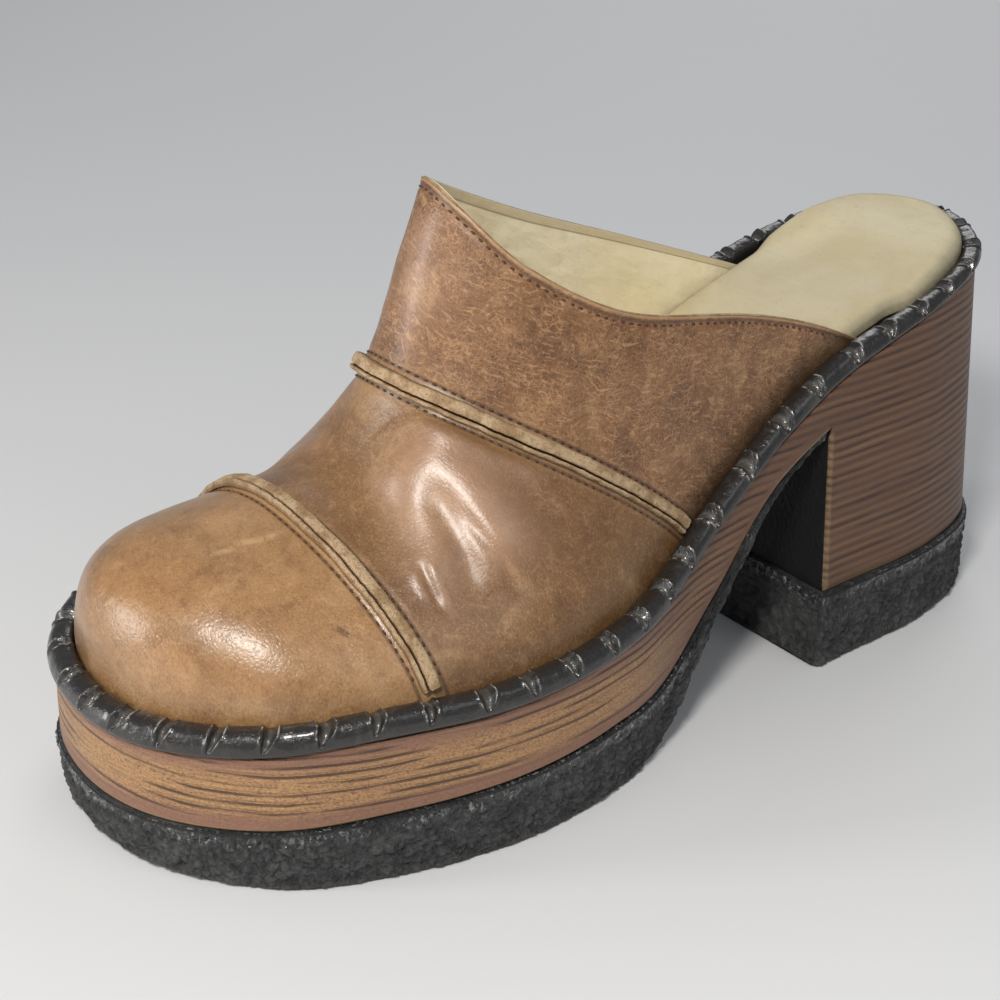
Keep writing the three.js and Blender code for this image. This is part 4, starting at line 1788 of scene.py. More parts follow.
# Section of the welt: inset and height in shares of its width and height, and how much of a
# notch reaches that corner
WELT_SECTION = Table(
    ("corner", "inset", "height", "notch"),
    (
        (0, 1.00, 0.06, 0.0), (1, 0.60, 0.05, 0.0), (2, 0.14, 0.06, 0.0), (3, 0.02, 0.16, 0.0),
        (4, 0.00, 0.30, 0.1), (5, 0.02, 0.44, 0.6), (6, 0.05, 0.58, 1.0), (7, 0.11, 0.74, 1.0),
        (8, 0.20, 0.88, 1.0), (9, 0.33, 0.97, 1.0), (10, 0.48, 1.00, 1.0), (11, 0.64, 0.99, 1.0),
        (12, 0.80, 0.95, 0.9), (13, 0.92, 0.88, 0.7), (14, 1.00, 0.76, 0.3),
    ),
)


@dataclass
class Welt(Part):
    """The notched strip along the whole edge."""

    stations: int = 2600
    corners: int = 34
    notch_half: float = 1.45
    notch_depth: float = 1.35
    notch_rim: float = 0.34
    notch_shift: float = 0.8
    notch_widths: tuple[float, float] = (0.72, 1.2)
    notch_depths: tuple[float, float] = (0.75, 1.1)
    notch_skew: float = 0.35
    toe_slant: float = 2.6
    toe_zone: tuple[float, float] = (0.74, 0.90)
    wobble: float = 0.18
    roughness: float = 0.14
    heel_fade: tuple[float, float] = (30, 80)
    heel_height: float = 0.62
    heel_narrowing: float = 1.2
    seed: int = 31

    def build(self) -> list[bpy.types.Object]:
        """Builds the strip with a notch at each pitch, slanted round the toe.

        Returns:
            The piece.
        """
        last, s = self.last, self.last.sizes
        pitches = round(last.edge_length / s.notch_pitch)
        pitch = last.edge_length / pitches
        turn = np.arange(self.stations) / self.stations
        corner = np.linspace(0, len(WELT_SECTION.rows) - 1, self.corners)
        inset, height, reach = (
            WELT_SECTION.read(name, corner)[None, :] for name in ("inset", "height", "notch")
        )
        edge, out = last.edge(turn)
        random = np.random.default_rng(self.seed)
        shift = random.uniform(-self.notch_shift, self.notch_shift, pitches)
        wide = random.uniform(*self.notch_widths, pitches)
        deep = random.uniform(*self.notch_depths, pitches)
        skew = random.uniform(-self.notch_skew, self.notch_skew, pitches)
        run = turn * last.edge_length
        nearest = np.round(run / pitch).astype(int) % pitches
        middle = nearest * pitch + shift[nearest]
        offset = (run - middle + last.edge_length / 2) % last.edge_length - last.edge_length / 2
        front = smoothstep(edge[:, 0] / s.length, *self.toe_zone)
        slant = (skew[nearest] - front) * self.toe_slant
        lean = slant[:, None] * (height - 0.6)
        away = np.abs(offset[:, None] - lean)
        up = np.maximum(np.clip((height - 0.32) / 0.6, 0, 1), smoothstep(inset, 0.4, 0.5))
        half = wide[nearest][:, None] * self.notch_half * (0.22 + 0.78 * up**0.8)
        cut = (1 - smoothstep(away, 0.2 * half, 1.15 * half + 0.2)) * reach
        rim = bell((away - 1.15 * half - 0.35) / 0.36) * reach
        wobble = rough(last.place(edge[:, 0], edge[:, 1], 0.0), 6, 2) * self.wobble
        sunk = deep[nearest][:, None] * self.notch_depth * cut - self.notch_rim * rim
        rear = 1 - smoothstep(edge[:, :1], *self.heel_fade)
        width = s.welt_width - self.heel_narrowing * rear
        depth = inset * width + sunk * 0.6 * (inset < 0.7) + wobble[:, None] * reach
        along = edge[:, :1] - out[:, :1] * depth
        across = edge[:, 1:] - out[:, 1:] * depth
        tall = s.welt_height * (1 - (1 - self.heel_height) * rear)
        level = last.deck(along) + height * tall - sunk * (0.25 + 0.75 * height)
        points = last.place(along, across, level)
        points[..., 2] += rough(points, 2.6, 3, 5) * self.roughness * reach
        draft = MeshDraft()
        closed = [np.concatenate([values, values[:1]]) for values in (points, cut, rim)]
        draft.sheet(closed[0], 0, ring=True, notch=closed[1], rim=closed[2])
        return [self.piece(draft, "notched_welt", Slot.WELT, (WeltRubber(),), "welt", crisp=80)]


# The insole's rolled edge: how far in each ring lies and how high over the wood
INSOLE_ROLL = Table(
    ("ring", "roll", "lift"),
    (
        (0, 0.10, 0.00), (1, 0.00, 0.35), (2, 0.00, 1.30), (3, 0.12, 2.30), (4, 0.50, 2.95),
        (5, 1.10, 3.45), (6, 2.00, 3.95), (7, 3.20, 4.35), (8, 5.00, 4.60),
    ),
)


@dataclass
class Insole(Part):
    """The padded insole, worn a little hollow under the heel and ball."""

    stations: int = 260
    rings: int = 24
    columns: int = 64
    heel_hollow: tuple[float, float, float] = (36, 24, 0.5)
    ball_hollow: tuple[float, float, float] = (172, 30, 0.8)
    heel_fade: tuple[float, float] = (26, 44)
    heel_spread: float = 1.2
    heel_thicker: float = 3.0
    border_zone: tuple[float, float] = (2.6, 0.2)
    roughness: float = 0.16
    far: float = 99.0
    fill: float = 0.85

    def _rim(self, along: Array, side: Side, roll: float) -> Array:
        """Places across the shoe of one ring, wider at the heel and narrower in the upper.

        Args:
            along: Places along the shoe.
            side: Which side of the foot.
            roll: How far in the ring lies.

        Returns:
            Places across the shoe.
        """
        last, s = self.last, self.last.sizes
        foot = UPPER_LINES.rows[-1]
        neck = float(last.foot_along(np.array(min(foot[1], foot[2])))) - s.upper_wall
        wide = last.across(along, side, s.upper_inset + roll)
        wider = last.across(along, side, s.upper_inset + roll - self.heel_spread)
        narrow = last.across(along, side, s.upper_inset + s.upper_wall + s.lasting_gap + roll)
        rear = 1 - smoothstep(along, *self.heel_fade)
        share = smoothstep(along, neck - s.insole_neck, neck)
        return (wide * (1 - rear) + wider * rear) * (1 - share) + narrow * share

    def build(self) -> list[bpy.types.Object]:
        """Builds the insole.

        Returns:
            The piece.
        """
        last, s = self.last, self.last.sizes
        places = np.linspace(0, len(INSOLE_ROLL.rows) - 1, self.rings)
        rolls, lifts = INSOLE_ROLL.read("roll", places), INSOLE_ROLL.read("lift", places)
        inside = s.upper_inset + s.upper_wall + s.lasting_gap
        sides: dict[Side, list[Array]] = {side: [] for side in Side}
        for roll, lift in zip(rolls, lifts):
            heel = last.span(s.upper_inset + roll - self.heel_spread)[0]
            toe = last.span(inside + roll)[1]
            along = cosine_steps(heel, toe, self.stations)
            thicker = 1 + self.heel_thicker / lifts[-1] * (1 - smoothstep(along, *self.heel_fade))
            height = last.deck(along) + s.seat_gap + lift * thicker
            for side, rows in sides.items():
                across = self._rim(along, side, roll)
                across[[0, -1]] = self._rim(along, Side.OUTER, roll)[[0, -1]]
                rows.append(last.place(along, across, height))
        draft = MeshDraft()
        outer, inner = (np.array(sides[side]) for side in Side)
        border = smoothstep(rolls, *self.border_zone)[:, None]
        for wall in (outer, inner):
            draft.sheet(wall, 0, border=border, rim=self.far)
        top = bridged(outer[-1], inner[-1], self.columns)
        along = last.along_of(top)
        middle = np.sin(np.linspace(0, math.pi, self.columns))[None, :]
        for centre, spread, depth in (self.heel_hollow, self.ball_hollow):
            top[..., 2] -= depth * middle**1.5 * bell((along - centre) / spread)
        top[:, 1:-1, 2] += rough(top[:, 1:-1], 16, 2, 3) * self.roughness * middle[:, 1:-1]
        draft.sheet(top, 0, border=0.0, rim=self.far)
        draft.sheet(bridged(outer[0], inner[0], self.columns), 0, border=1.0, rim=self.far)
        finish = CreamLeather("insole_leather", paint(208, 196, 162), paint(196, 182, 145))
        piece = self.piece(draft, "insole_pad", Slot.INSOLE, (finish,), "insole")
        return [piece]


@dataclass(frozen=True)
class Drawn:
    """Something that follows a line drawn on the upper."""

    path: Path
    width: float


@dataclass(frozen=True)
class Fold(Drawn):
    """A soft ridge in the upper, or a trough where its rise is negative; gloss adds a painted
    highlight.
    """

    rise: float
    gloss: float = 0.0


class Wrinkles(Drawn):
    """A patch of fine wrinkles that run along its middle line."""


@dataclass(frozen=True)
class Mark(Drawn):
    """A pale rub on the leather, or a dark stain where its strength is negative."""

    strength: float


# Folds, wrinkles and marks as (at, turn) points on the upper, with sizes in millimetres
FOLDS = (
    Fold(
        (
            (0.722, 0.430), (0.713, 0.409), (0.673, 0.359), (0.661, 0.301), (0.644, 0.251),
            (0.639, 0.192), (0.628, 0.150),
        ),
        10.0, 3.0, 1.0,
    ),
    Fold(
        (
            (0.645, 0.310), (0.634, 0.289), (0.622, 0.244), (0.614, 0.200), (0.609, 0.166),
            (0.600, 0.138),
        ),
        1.6, -0.7,
    ),
    Fold(((0.700, 0.300), (0.690, 0.240), (0.682, 0.180), (0.668, 0.130)), 5.0, -0.6),
    Fold(
        ((0.716, 0.440), (0.711, 0.380), (0.709, 0.320), (0.710, 0.260), (0.716, 0.200)),
        2.6, 0.5, 0.5,
    ),
    Fold(
        (
            (0.675, 0.430), (0.627, 0.401), (0.597, 0.357), (0.573, 0.305), (0.541, 0.248),
            (0.521, 0.186),
        ),
        6.5, 1.8, 0.8,
    ),
    Fold(
        ((0.655, 0.370), (0.625, 0.320), (0.598, 0.268), (0.570, 0.215), (0.556, 0.170)),
        3.6, -1.2,
    ),
    Fold(((0.552, 0.285), (0.543, 0.259), (0.524, 0.170)), 1.0, 0.28, 0.8),
    Fold(((0.527, 0.285), (0.516, 0.251), (0.511, 0.204)), 1.0, 0.28, 0.7),
    Fold(((0.540, 0.285), (0.530, 0.255), (0.517, 0.187)), 0.8, -0.45),
    Fold(((0.985, 0.515), (0.924, 0.493), (0.860, 0.467), (0.796, 0.457)), 7.0, 0.8, 0.5),
    Fold(((0.930, 0.560), (0.850, 0.580), (0.780, 0.600)), 6.0, 0.5, 0.3),
    Fold(((0.715, 0.600), (0.660, 0.660), (0.600, 0.720), (0.550, 0.800)), 4.6, 1.2, 0.8),
    Fold(((0.690, 0.640), (0.640, 0.710), (0.590, 0.790)), 1.6, -0.7),
    Fold(((0.640, 0.560), (0.580, 0.640), (0.530, 0.720)), 3.8, 0.9, 0.6),
)
WRINKLES = (
    Wrinkles(((0.727, 0.120), (0.705, 0.196), (0.672, 0.262)), 4.0),
    Wrinkles(((0.716, 0.216), (0.700, 0.300)), 3.0),
    Wrinkles(((0.750, 0.345), (0.775, 0.355), (0.800, 0.360)), 6.0),
    Wrinkles(((0.713, 0.405), (0.676, 0.359), (0.664, 0.301), (0.647, 0.251)), 3.2),
    Wrinkles(((0.890, 0.410), (0.895, 0.460), (0.905, 0.520)), 7.0),
)
MARKS = (
    Mark(
        ((0.325, 0.441), (0.352, 0.424), (0.381, 0.427), (0.410, 0.420), (0.448, 0.434)),
        1.1, 0.9,
    ),
    Mark(((0.155, 0.493), (0.180, 0.486), (0.200, 0.470), (0.226, 0.467)), 1.1, 0.9),
    Mark(((0.392, 0.201), (0.404, 0.211)), 1.7, -1.0),
)
DRAWN = FOLDS + WRINKLES + MARKS


class Guide:
    """A line drawn on the upper, from which places on it are measured."""

    STEPS = 60
    REACH = 3.2
    FADE = 0.3

    def __init__(self, last: Last, path: Path) -> None:
        """Lays the line on the upper.

        Args:
            last: The clog's lines.
            path: Its (at, turn) points.
        """
        known = np.linspace(0, 1, len(path))
        table = Table(("share", "at", "turn"), tuple((t, *spot) for t, spot in zip(known, path)))
        share = np.linspace(0, 1, self.STEPS)
        surface = last.upper_frame(table.read("at", share), table.read("turn", share))
        self.points = surface.point
        self.forward = unit(np.gradient(self.points, axis=0))
        self.sideways = unit(np.cross(self.forward, surface.normal))
        steps = np.linalg.norm(np.diff(self.points, axis=0), axis=1)
        self.run = np.concatenate([[0], np.cumsum(steps)])

    def measure(self, points: Array, width: float) -> tuple[Array, Array, Array]:
        """Places of points beside the line.

        Args:
            points: Points in millimetres.
            width: Width of what the line carries.

        Returns:
            Distance to one side, distance along, and strength, 0 to 1.
        """
        flat = points.reshape(-1, 3)
        reach = self.REACH * width
        low, high = self.points.min(axis=0) - reach, self.points.max(axis=0) + reach
        near = np.flatnonzero(((flat > low) & (flat < high)).all(axis=1))
        across, run, strength = (np.zeros(len(flat)) for _ in range(3))
        if len(near):
            spots = flat[near]
            distance = ((spots[:, None] - self.points[None]) ** 2).sum(axis=2)
            index = distance.argmin(axis=1)
            offset = spots - self.points[index]
            ahead = (offset * self.forward[index]).sum(axis=1)
            sign = np.sign((offset * self.sideways[index]).sum(axis=1))
            away = np.sqrt(np.maximum(distance.min(axis=1) - ahead**2, 0))
            place = (self.run[index] + ahead) / self.run[-1]
            fade = smoothstep(place, 0.0, self.FADE) * smoothstep(place, 1.0, 1 - self.FADE)
            across[near], run[near] = sign * away, self.run[index] + ahead
            strength[near] = bell(away / width) * fade
        shape = points.shape[:-1]
        return across.reshape(shape), run.reshape(shape), strength.reshape(shape)


# Section of a raised seam: a thin front lip, a groove and a broad rear lip
SEAM_SECTION = Table(
    ("step", "across", "height", "top"),
    (
        (0, -1.04, 0.10, 0.5), (1, -1.00, 0.45, 0.6), (2, -0.94, 0.80, 0.8),
        (3, -0.82, 0.94, 1.0), (4, -0.66, 0.94, 1.0), (5, -0.57, 0.84, 0.8),
        (6, -0.50, 0.46, 0.3), (7, -0.46, 0.16, 0.0), (8, -0.41, 0.16, 0.0),
        (9, -0.36, 0.52, 0.3), (10, -0.29, 0.94, 0.9), (11, -0.10, 1.05, 1.0),
        (12, 0.35, 1.07, 1.0), (13, 0.78, 1.00, 1.0), (14, 0.94, 0.80, 0.8),
        (15, 1.00, 0.45, 0.6), (16, 1.04, 0.10, 0.5),
    ),
)


@dataclass
class UpperSkin(Part):
    """The hollow leather upper: outer leather, lining, raised seams and stitches."""

    rows: int = 262
    columns: int = 280
    core_step: int = 5
    leather: float = 1.2
    lining_rows: int = 110
    rim_steps: int = 7
    seam_stations: int = 460
    seam_corners: int = 48
    lip_width: float = 4.1
    stitch_pitch: float = 2.3
    stitch_length: float = 1.5
    stitch_radius: float = 0.27
    stitch_corners: int = 6
    stitch_rings: int = 7
    stitch_arch: float = 0.28
    stitch_sunk: float = 0.16
    seam_stitch_out: float = 3.1
    seam_stitch_clear: float = 2.2
    topline_stitch_in: float = 2.1
    topline_ends: tuple[float, float] = (0.035, 0.965)
    seam_swell: float = 0.25
    seam_swell_width: float = 2.9
    seam_groove: float = 0.30
    seam_groove_width: float = 0.9
    topline_groove: float = 0.26
    topline_groove_width: float = 0.8
    rim_bulge: float = 0.35
    lining_bulge: float = 0.25
    lining_gap: float = 0.06
    seam_lines: list[Array] = field(init=False)
    guides: list[Guide] = field(init=False)

    def __post_init__(self) -> None:
        """Lays the lines that the relief follows."""
        s, turns = self.last.sizes, np.linspace(0, 1, 240)
        self.seam_lines = [self.last.upper(at, turns) for at in (s.toe_seam_at, s.instep_seam_at)]
        self.guides = [Guide(self.last, item.path) for item in DRAWN]

    @staticmethod
    def _away(points: Array, line: Array) -> Array:
        """Distance from points to a line's nearest point."""
        flat = points.reshape(-1, 3)
        best = np.full(len(flat), 1e9)
        for spot in line:
            best = np.minimum(best, ((flat - spot) ** 2).sum(axis=1))
        return np.sqrt(best).reshape(points.shape[:-1])

    def _relief(self, points: Array, edge: Array, foot: Array) -> tuple[Array, dict[str, Array]]:
        """How the skin rises and sinks, with what is painted on it.

        Args:
            points: Points on the smooth upper.
            edge: Their distance from the topline.
            foot: Their height over the wood.

        Returns:
            The rise in millimetres and the painted values.
        """
        rise = rough(points, 14, 2, 9) * 0.20 + rough(points, 5, 2, 4) * 0.04
        names = ("fold_gloss_and_highlight", "marked", "wrinkled", "wrinkle_across", "wrinkle_run")
        painted = {name: np.zeros(points.shape[:-1]) for name in names}
        for item, guide in zip(DRAWN, self.guides):
            across, run, strength = guide.measure(points, item.width)
            if isinstance(item, Fold):
                rise += item.rise * strength
                # fold gloss, which also sets the painted pink highlight in the leather's colour
                painted["fold_gloss_and_highlight"] = np.maximum(painted["fold_gloss_and_highlight"], item.gloss * strength)
            elif isinstance(item, Mark):
                painted["marked"] += item.strength * strength
            else:
                stronger = strength > painted["wrinkled"]
                for name, value in zip(names[2:], (strength, across, run)):
                    painted[name] = np.where(stronger, value, painted[name])
        seam = np.minimum(*(self._away(points, line) for line in self.seam_lines))
        quiet = smoothstep(seam, 2.0, 6.0) * smoothstep(foot, 1.0, 7.0)
        quiet = quiet * smoothstep(edge, 0.0, 5.0)
        beside = (seam - self.seam_stitch_out) / self.seam_groove_width
        below = (edge - self.topline_stitch_in) / self.topline_groove_width
        rise = rise * quiet
        rise += self.seam_swell * bell(seam / self.seam_swell_width)
        rise -= self.seam_groove * bell(beside)
        rise -= self.topline_groove * bell(below)
        painted["fold_gloss_and_highlight"] = np.clip(painted["fold_gloss_and_highlight"] * quiet, 0, 1)
        painted["seam"] = seam
        return rise, painted

    def skin(self, at: Array, turn: Array) -> tuple[Array, Array, dict[str, Array]]:
        """Points on the leather, their normals and what is painted on them.

        Args:
            at: From the toe tip, 0, to the topline, 1.
            turn: From the outer foot, 0, over the crest to the inner foot, 1.

        Returns:
            Points, normals and painted values.
        """
        last, s = self.last, self.last.sizes
        surface = last.upper_frame(np.maximum(at, 2 * last.FRAME_STEP), turn)
        points = surface.point
        foot = points[..., 2] - last.deck(last.along_of(points))
        edge = (last.topline(turn) - at) * last.upper_frame(1.0, turn).speed
        rise, painted = self._relief(points, edge, foot)
        painted["panel"] = (at > s.toe_seam_at).astype(float) + (at > s.instep_seam_at)
        painted["edge"], painted["foot"] = edge, foot
        painted["flank"] = smoothstep(turn, 0.52, 0.85)
        return points + surface.normal * rise[..., None], surface.normal, painted

    def _grid(self, rows: int, columns: int) -> tuple[Array, Array]:
        """Places of a grid over the whole upper."""
        turn = cosine_steps(0, 1, columns) * 0.35 + np.linspace(0, 1, columns) * 0.65
        share = np.linspace(0, 1, rows)[:, None]
        return share * self.last.topline(turn)[None, :], np.broadcast_to(turn, (rows, columns))

    def _inside(self, at: Array, turn: Array, depth: float) -> Array:
        """Points of a wall that lies inside the smooth upper, its feet on the wood.

        Args:
            at: From the toe tip, 0, to the topline, 1.
            turn: From the outer foot, 0, over the crest to the inner foot, 1.
            depth: How far inside it lies.

        Returns:
            The points.
        """
        last, s = self.last, self.last.sizes
        surface = last.upper_frame(np.maximum(at, 2 * last.FRAME_STEP), turn)
        normal = surface.normal.copy()
        on_foot = np.zeros(at.shape, bool)
        on_foot[:, [0, -1]] = True
        on_foot[0] = True
        normal[on_foot, 2] = 0
        points = surface.point - unit(normal) * depth
        feet = last.deck(last.along_of(points)) + s.seat_gap
        points[..., 2] = np.where(on_foot, feet, points[..., 2])
        return points

    def _rim(self, outer: Array, inner: Array, bulge: float) -> Array:
        """Rows that round over from one edge to another.

        Args:
            outer: Points on the first edge.
            inner: Points on the second edge.
            bulge: How far the rows stand out between the edges.

        Returns:
            The rows between the two edges.
        """
        share = np.linspace(0, 1, self.rim_steps + 2)[1:-1, None, None]
        turn = np.linspace(0, 1, outer.shape[0])
        surface = self.last.upper_frame(self.last.topline(turn), turn)
        lift = bulge * np.sin(math.pi * share)
        return outer * (1 - share) + inner * share + surface.heading * lift

    def outer_leather(self) -> bpy.types.Object:
        """The outer leather with its rounded cut edge.

        Returns:
            The piece.
        """
        last, s = self.last, self.last.sizes
        at, turn = self._grid(self.rows, self.columns)
        skin, _, painted = self.skin(at, turn)
        skin[0] = last.upper(0.0, 0.5)
        feet = last.deck(last.along_of(skin)) + s.seat_gap
        for column in (0, -1):
            skin[:, column, 2] = feet[:, column]
        core = self._inside(at, turn, self.leather)
        core[0] = self._inside(at[:1], turn[:1], self.leather)[0, self.columns // 2]
        rim = self._rim(skin[-1], core[-1], self.rim_bulge)
        draft = MeshDraft()
        numbers = draft.add(skin, **painted, top=0.0)
        rim_painted = {name: value[-1][None] for name, value in painted.items()}
        rim_numbers = draft.add(rim, **rim_painted, top=1.0)
        picked = np.union1d(np.arange(0, self.rows, self.core_step), [self.rows - 1])
        core_painted = {name: value[picked] for name, value in painted.items()}
        core_numbers = draft.add(core[picked], **core_painted, top=0.0)
        draft.cover(numbers, 0)
        draft.cover(np.vstack([numbers[-1:], rim_numbers, core_numbers[-1:]]), 1)
        draft.cover(core_numbers, 1)
        for column in (0, self.columns - 1):
            near, far = numbers[:, column], core_numbers[:, column]
            for step, (low, high) in enumerate(zip(picked[:-1], picked[1:])):
                spots, first, second = near[low:high + 1], far[step], far[step + 1]
                half = len(spots) // 2
                fan = [(spots[i], spots[i + 1], first, first) for i in range(half)]
                fan.append((spots[half], second, first, first))
                rest = range(half, len(spots) - 1)
                fan += [(spots[i], spots[i + 1], second, second) for i in rest]
                draft.patch(np.array(fan), 1)
        finishes = (WaxedLeather(), RawEdge())
        return self.piece(draft, "upper_leather", Slot.UPPER, finishes, "upper", crisp=70)

    def lining(self) -> bpy.types.Object:
        """The cream lining, a little uneven where the foot bends it.

        Returns:
            The piece.
        """
        columns = self.columns // 2
        at, turn = self._grid(self.lining_rows, columns)
        face = self._inside(at, turn, self.last.sizes.upper_wall)
        back = self._inside(at, turn, self.leather + self.lining_gap)
        surface = self.last.upper_frame(np.maximum(at, 2 * self.last.FRAME_STEP), turn)
        wrinkles = rough(face * np.array([0.5, 1.0, 1.6]), 7, 3, 2) * 0.3
        edge = (self.last.topline(turn) - at) * self.last.upper_frame(1.0, turn).speed
        quiet = smoothstep(edge, 1.0, 8.0) * smoothstep(at, 0.05, 0.2)
        quiet[:, [0, -1]] = 0
        seam = 0.25 * bell((edge - self.topline_stitch_in) / 0.7)
        face = face - surface.normal * (wrinkles * quiet - seam)[..., None]
        face[0], back[0] = face[0, columns // 2], back[0, columns // 2]
        draft = MeshDraft()
        front = draft.sheet(face, 0, border=bell(edge / 1.2) * 0.4, rim=edge)
        behind = draft.sheet(back, 0, border=0.0, rim=edge)
        edging = self._rim(back[-1], face[-1], self.lining_bulge)
        rim = draft.add(edging, border=0.3, rim=0.0)
        draft.cover(np.vstack([behind[-1:], rim, front[-1:]]), 0)
        for column in (0, -1):
            draft.cover(np.stack([front[:, column], behind[:, column]], axis=1), 0)
        finishes = (CreamLeather("lining_leather"),)
        return self.piece(draft, "upper_lining", Slot.INSOLE, finishes, crisp=70)

    def raised_seam(self, name: str, node: str, at: float, seed: int) -> bpy.types.Object:
        """Two raw edges stood up side by side, uneven as cut leather is.

        Args:
            name: The piece's name.
            node: The solid that it replaces.
            at: The seam's place on the upper's run.
            seed: Seed of its unevenness.

        Returns:
            The piece.
        """
        last, s = self.last, self.last.sizes
        clear = s.welt_height + 2 * s.seat_gap
        ends = [last.seam_end(at, side, clear) for side in Side]
        surface = last.upper_frame(at, np.linspace(*ends, self.seam_stations))
        step = np.linspace(0, len(SEAM_SECTION.rows) - 1, self.seam_corners)
        across, height, top = (
            SEAM_SECTION.read(label, step)[None, :] for label in ("across", "height", "top")
        )
        wander = rough(surface.point, 9, 2, seed) * 0.30 + rough(surface.point, 1.6, 2, seed) * 0.1
        swell = 1 + rough(surface.point, 5, 2, seed + 5) * 0.10
        lateral = across * self.lip_width / 2 * swell[:, None] + wander[:, None]
        lift = height * s.seam_height * swell[:, None] + 0.25
        points = (
            surface.point[:, None]
            + surface.heading[:, None] * lateral[..., None]
            + surface.normal[:, None] * lift[..., None]
        )
        points += surface.normal[:, None] * (rough(points, 1.3, 2, seed) * 0.14 * top)[..., None]
        draft = MeshDraft()
        draft.tube(points, top=top)
        return self.piece(draft, name, Slot.RAW, (RawEdge(),), node, crisp=75)

    def _stitch_row(self, at: Array, turn: Array) -> list[Array]:
        """Stitches along a line on the skin.

        Args:
            at: The line's places on the upper's run.
            turn: Its turns.

        Returns:
            One grid of points for each stitch.
        """
        points, normals, _ = self.skin(at, turn)
        run = np.concatenate([[0], np.cumsum(np.linalg.norm(np.diff(points, axis=0), axis=1))])
        count = int(run[-1] // self.stitch_pitch)
        ring = np.linspace(0, 2 * math.pi, self.stitch_corners + 1)[:-1]
        share = np.linspace(0, 1, self.stitch_rings)[:, None]
        arch = np.sin(math.pi * share)
        radius = self.stitch_radius * (0.45 + 0.55 * arch)
        stitches = []
        for start in (np.arange(count) + 0.2) * self.stitch_pitch:
            t = start + share[:, 0] * self.stitch_length
            line, normal = (
                np.stack([np.interp(t, run, values[:, part]) for part in range(3)], axis=1)
                for values in (points, normals)
            )
            normal = unit(normal)
            centre = line + normal * (arch * self.stitch_arch - self.stitch_sunk)
            side = unit(np.cross(np.gradient(line, axis=0), normal))
            stitches.append(
                centre[:, None]
                + side[:, None] * (np.cos(ring)[None, :] * radius)[..., None]
                + normal[:, None] * (np.sin(ring)[None, :] * radius)[..., None]
            )
        return stitches

    def _sew(self, name: str, stitches: list[Array]) -> bpy.types.Object:
        """Joins stitches into one piece."""
        draft = MeshDraft()
        for stitch in stitches:
            draft.tube(stitch)
        return self.piece(draft, name, Slot.UPPER, (Thread(),), crisp=80)

    def stitches(self) -> list[bpy.types.Object]:
        """Rows beside the raised seams and under the topline.

        Returns:
            The pieces.
        """
        last, s = self.last, self.last.sizes
        clear = s.welt_height + self.seam_stitch_clear
        pieces = []
        for label, at in (("toe", s.toe_seam_at), ("instep", s.instep_seam_at)):
            turn = np.linspace(*(last.seam_end(at, side, clear) for side in Side), 300)
            speed = last.upper_frame(at, turn).speed
            out = self.seam_stitch_out / speed
            rows = self._stitch_row(at - out, turn) + self._stitch_row(at + out, turn)
            pieces.append(self._sew(f"stitches_{label}_seam", rows))
        turn = np.linspace(*self.topline_ends, 500)
        edge = last.topline(turn) - self.topline_stitch_in / last.upper_frame(1.0, turn).speed
        pieces.append(self._sew("stitches_topline", self._stitch_row(edge, turn)))
        return pieces

    def build(self) -> list[bpy.types.Object]:
        """Builds the whole upper.

        Returns:
            The pieces.
        """
        s = self.last.sizes
        return [
            self.outer_leather(),
            self.lining(),
            self.raised_seam("seam_toe", "raised_seam_toe", s.toe_seam_at, 3),
            self.raised_seam("seam_instep", "raised_seam_instep", s.instep_seam_at, 8),
            *self.stitches(),
        ]


@dataclass(frozen=True)
class SoftLight:
    """A softbox that looks at the shoe."""

    name: str
    towards: Triple
    distance: float
    width: float
    height: float
    power: float
    tint: Colour = (1.0, 1.0, 1.0)
    aim: Triple = (-0.009, -0.017, 0.049)


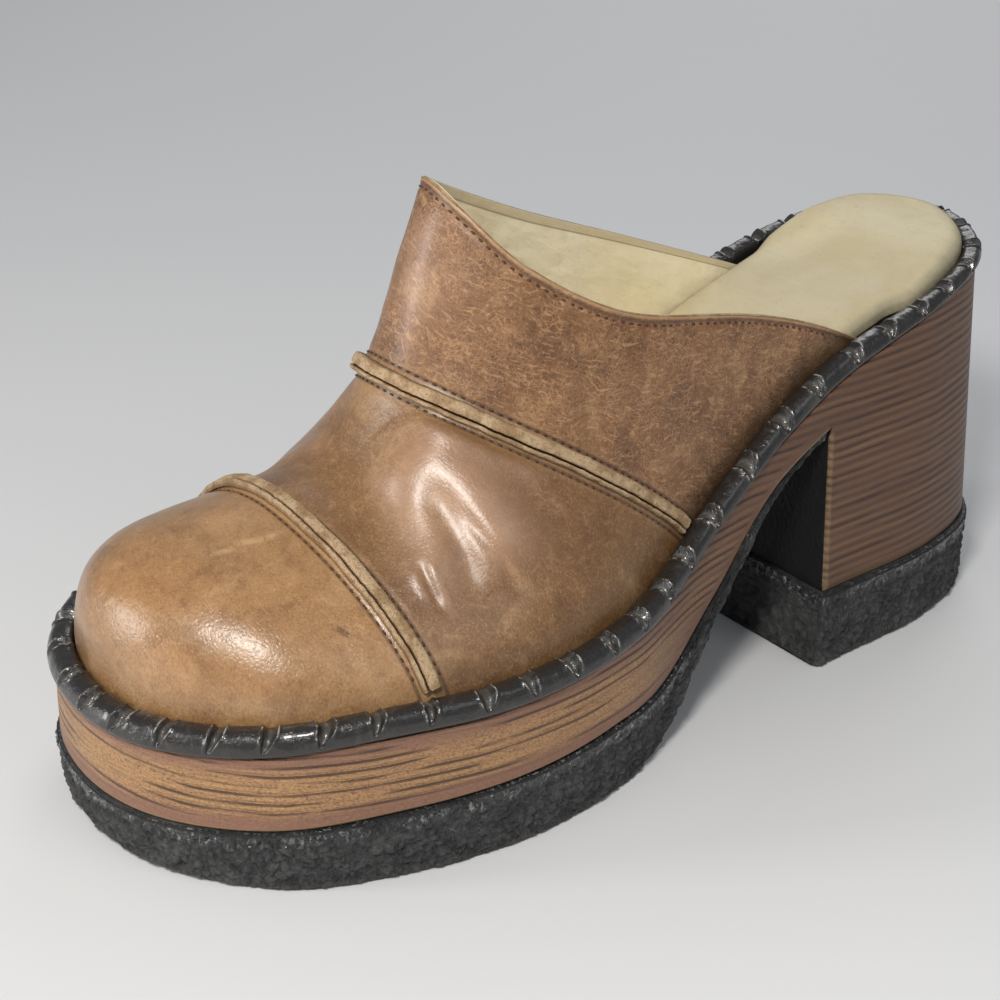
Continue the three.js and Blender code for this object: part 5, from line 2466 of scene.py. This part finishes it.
@dataclass(frozen=True)
class Studio:
    """Floor, soft light and the camera at the photograph's angle."""

    target: Triple = (-0.00869, -0.01681, 0.04947)
    azimuth: float = 51.68
    elevation: float = 26.37
    roll: float = 1.32
    distance: float = 0.51304
    lens: float = 75.825
    sensor: float = 36.0
    near: float = 0.01
    far: float = 20
    floor_size: float = 6.0
    floor_drop: float = 0.0002
    ambient: float = 0.24
    room_tint: Colour = (0.93, 0.96, 1.0)
    lights: tuple[SoftLight, ...] = (
        SoftLight(
            "key_softbox", (0.45, -0.46, 0.70), 0.62, 0.12, 0.12, 2.9, (1.0, 0.97, 0.92),
            (0.004, -0.096, 0.055),
        ),
        SoftLight("side_softbox", (0.75, 0.20, 0.60), 1.2, 0.6, 0.5, 1.2, (0.97, 0.98, 1.0)),
        SoftLight("throat_softbox", (-0.40, -0.90, 0.14), 1.1, 0.20, 0.50, 4.4, (1.0, 0.97, 0.94)),
        SoftLight("front_softbox", (0.15, -0.80, 0.58), 1.3, 0.7, 0.7, 1.4, (0.97, 0.98, 1.0)),
        SoftLight("back_softbox", (-0.55, 0.70, 0.60), 1.4, 0.8, 0.5, 3.4),
    )

    def lay_floor(self) -> None:
        """Lays the floor."""
        mesh = bpy.data.meshes.new("studio_floor")
        half = self.floor_size / 2
        corners = [(-half, -half, 0), (half, -half, 0), (half, half, 0), (-half, half, 0)]
        mesh.from_pydata(corners, [], [(0, 1, 2, 3)])
        mesh.materials.append(Floor().material())
        plane = bpy.data.objects.new("studio_floor", mesh)
        plane.location.z = -self.floor_drop
        bpy.context.scene.collection.objects.link(plane)

    def stand_camera(self) -> None:
        """Stands the camera where the photograph was taken."""
        azimuth, elevation = math.radians(self.azimuth), math.radians(self.elevation)
        back = Vector((
            math.sin(azimuth) * math.cos(elevation),
            -math.cos(azimuth) * math.cos(elevation),
            math.sin(elevation),
        ))
        right = Vector((math.cos(azimuth), math.sin(azimuth), 0))
        up = back.cross(right)
        roll = math.radians(self.roll)
        level = math.cos(roll) * right + math.sin(roll) * up
        upright = math.cos(roll) * up - math.sin(roll) * right
        data = bpy.data.cameras.new("photo_camera")
        data.lens, data.sensor_width = self.lens, self.sensor
        data.clip_start, data.clip_end = self.near, self.far
        camera = bpy.data.objects.new("photo_camera", data)
        turn = Matrix((level, upright, back)).transposed().to_4x4()
        place = Vector(self.target) + back * self.distance
        camera.matrix_world = Matrix.Translation(place) @ turn
        bpy.context.scene.collection.objects.link(camera)
        bpy.context.scene.camera = camera

    def hang_lights(self) -> None:
        """Hangs the softboxes and sets the room's own light."""
        scene = bpy.context.scene
        for box in self.lights:
            data = bpy.data.lights.new(box.name, "AREA")
            data.shape, data.size, data.size_y = "RECTANGLE", box.width, box.height
            data.energy, data.color = box.power, box.tint
            lamp = bpy.data.objects.new(box.name, data)
            towards = Vector(box.towards).normalized()
            lamp.location = Vector(box.aim) + towards * box.distance
            lamp.rotation_euler = towards.to_track_quat("Z", "Y").to_euler()
            scene.collection.objects.link(lamp)
        world = bpy.data.worlds.new("studio_room")
        world.use_nodes = True
        room = world.node_tree.nodes["Background"]
        room.inputs["Color"].default_value = (*self.room_tint, 1.0)
        room.inputs["Strength"].default_value = self.ambient
        scene.world = world
        scene.view_settings.view_transform = "Standard"

    def build(self) -> None:
        """Sets up the whole studio."""
        self.lay_floor()
        self.stand_camera()
        self.hang_lights()


def main() -> None:
    """Builds the clog and its studio."""
    logging.basicConfig(level=logging.INFO, format="%(message)s")
    noise.seed_set(NOISE_SEED)
    last = Last(ClogSizes())
    Studio().build()
    for part in (WoodUnit(last), CrepeSoles(last), Welt(last), Insole(last), UpperSkin(last)):
        for piece in part.build():
            log.info("%s made by %s", piece.name, type(part).__name__)


if __name__ == "__main__":
    main()
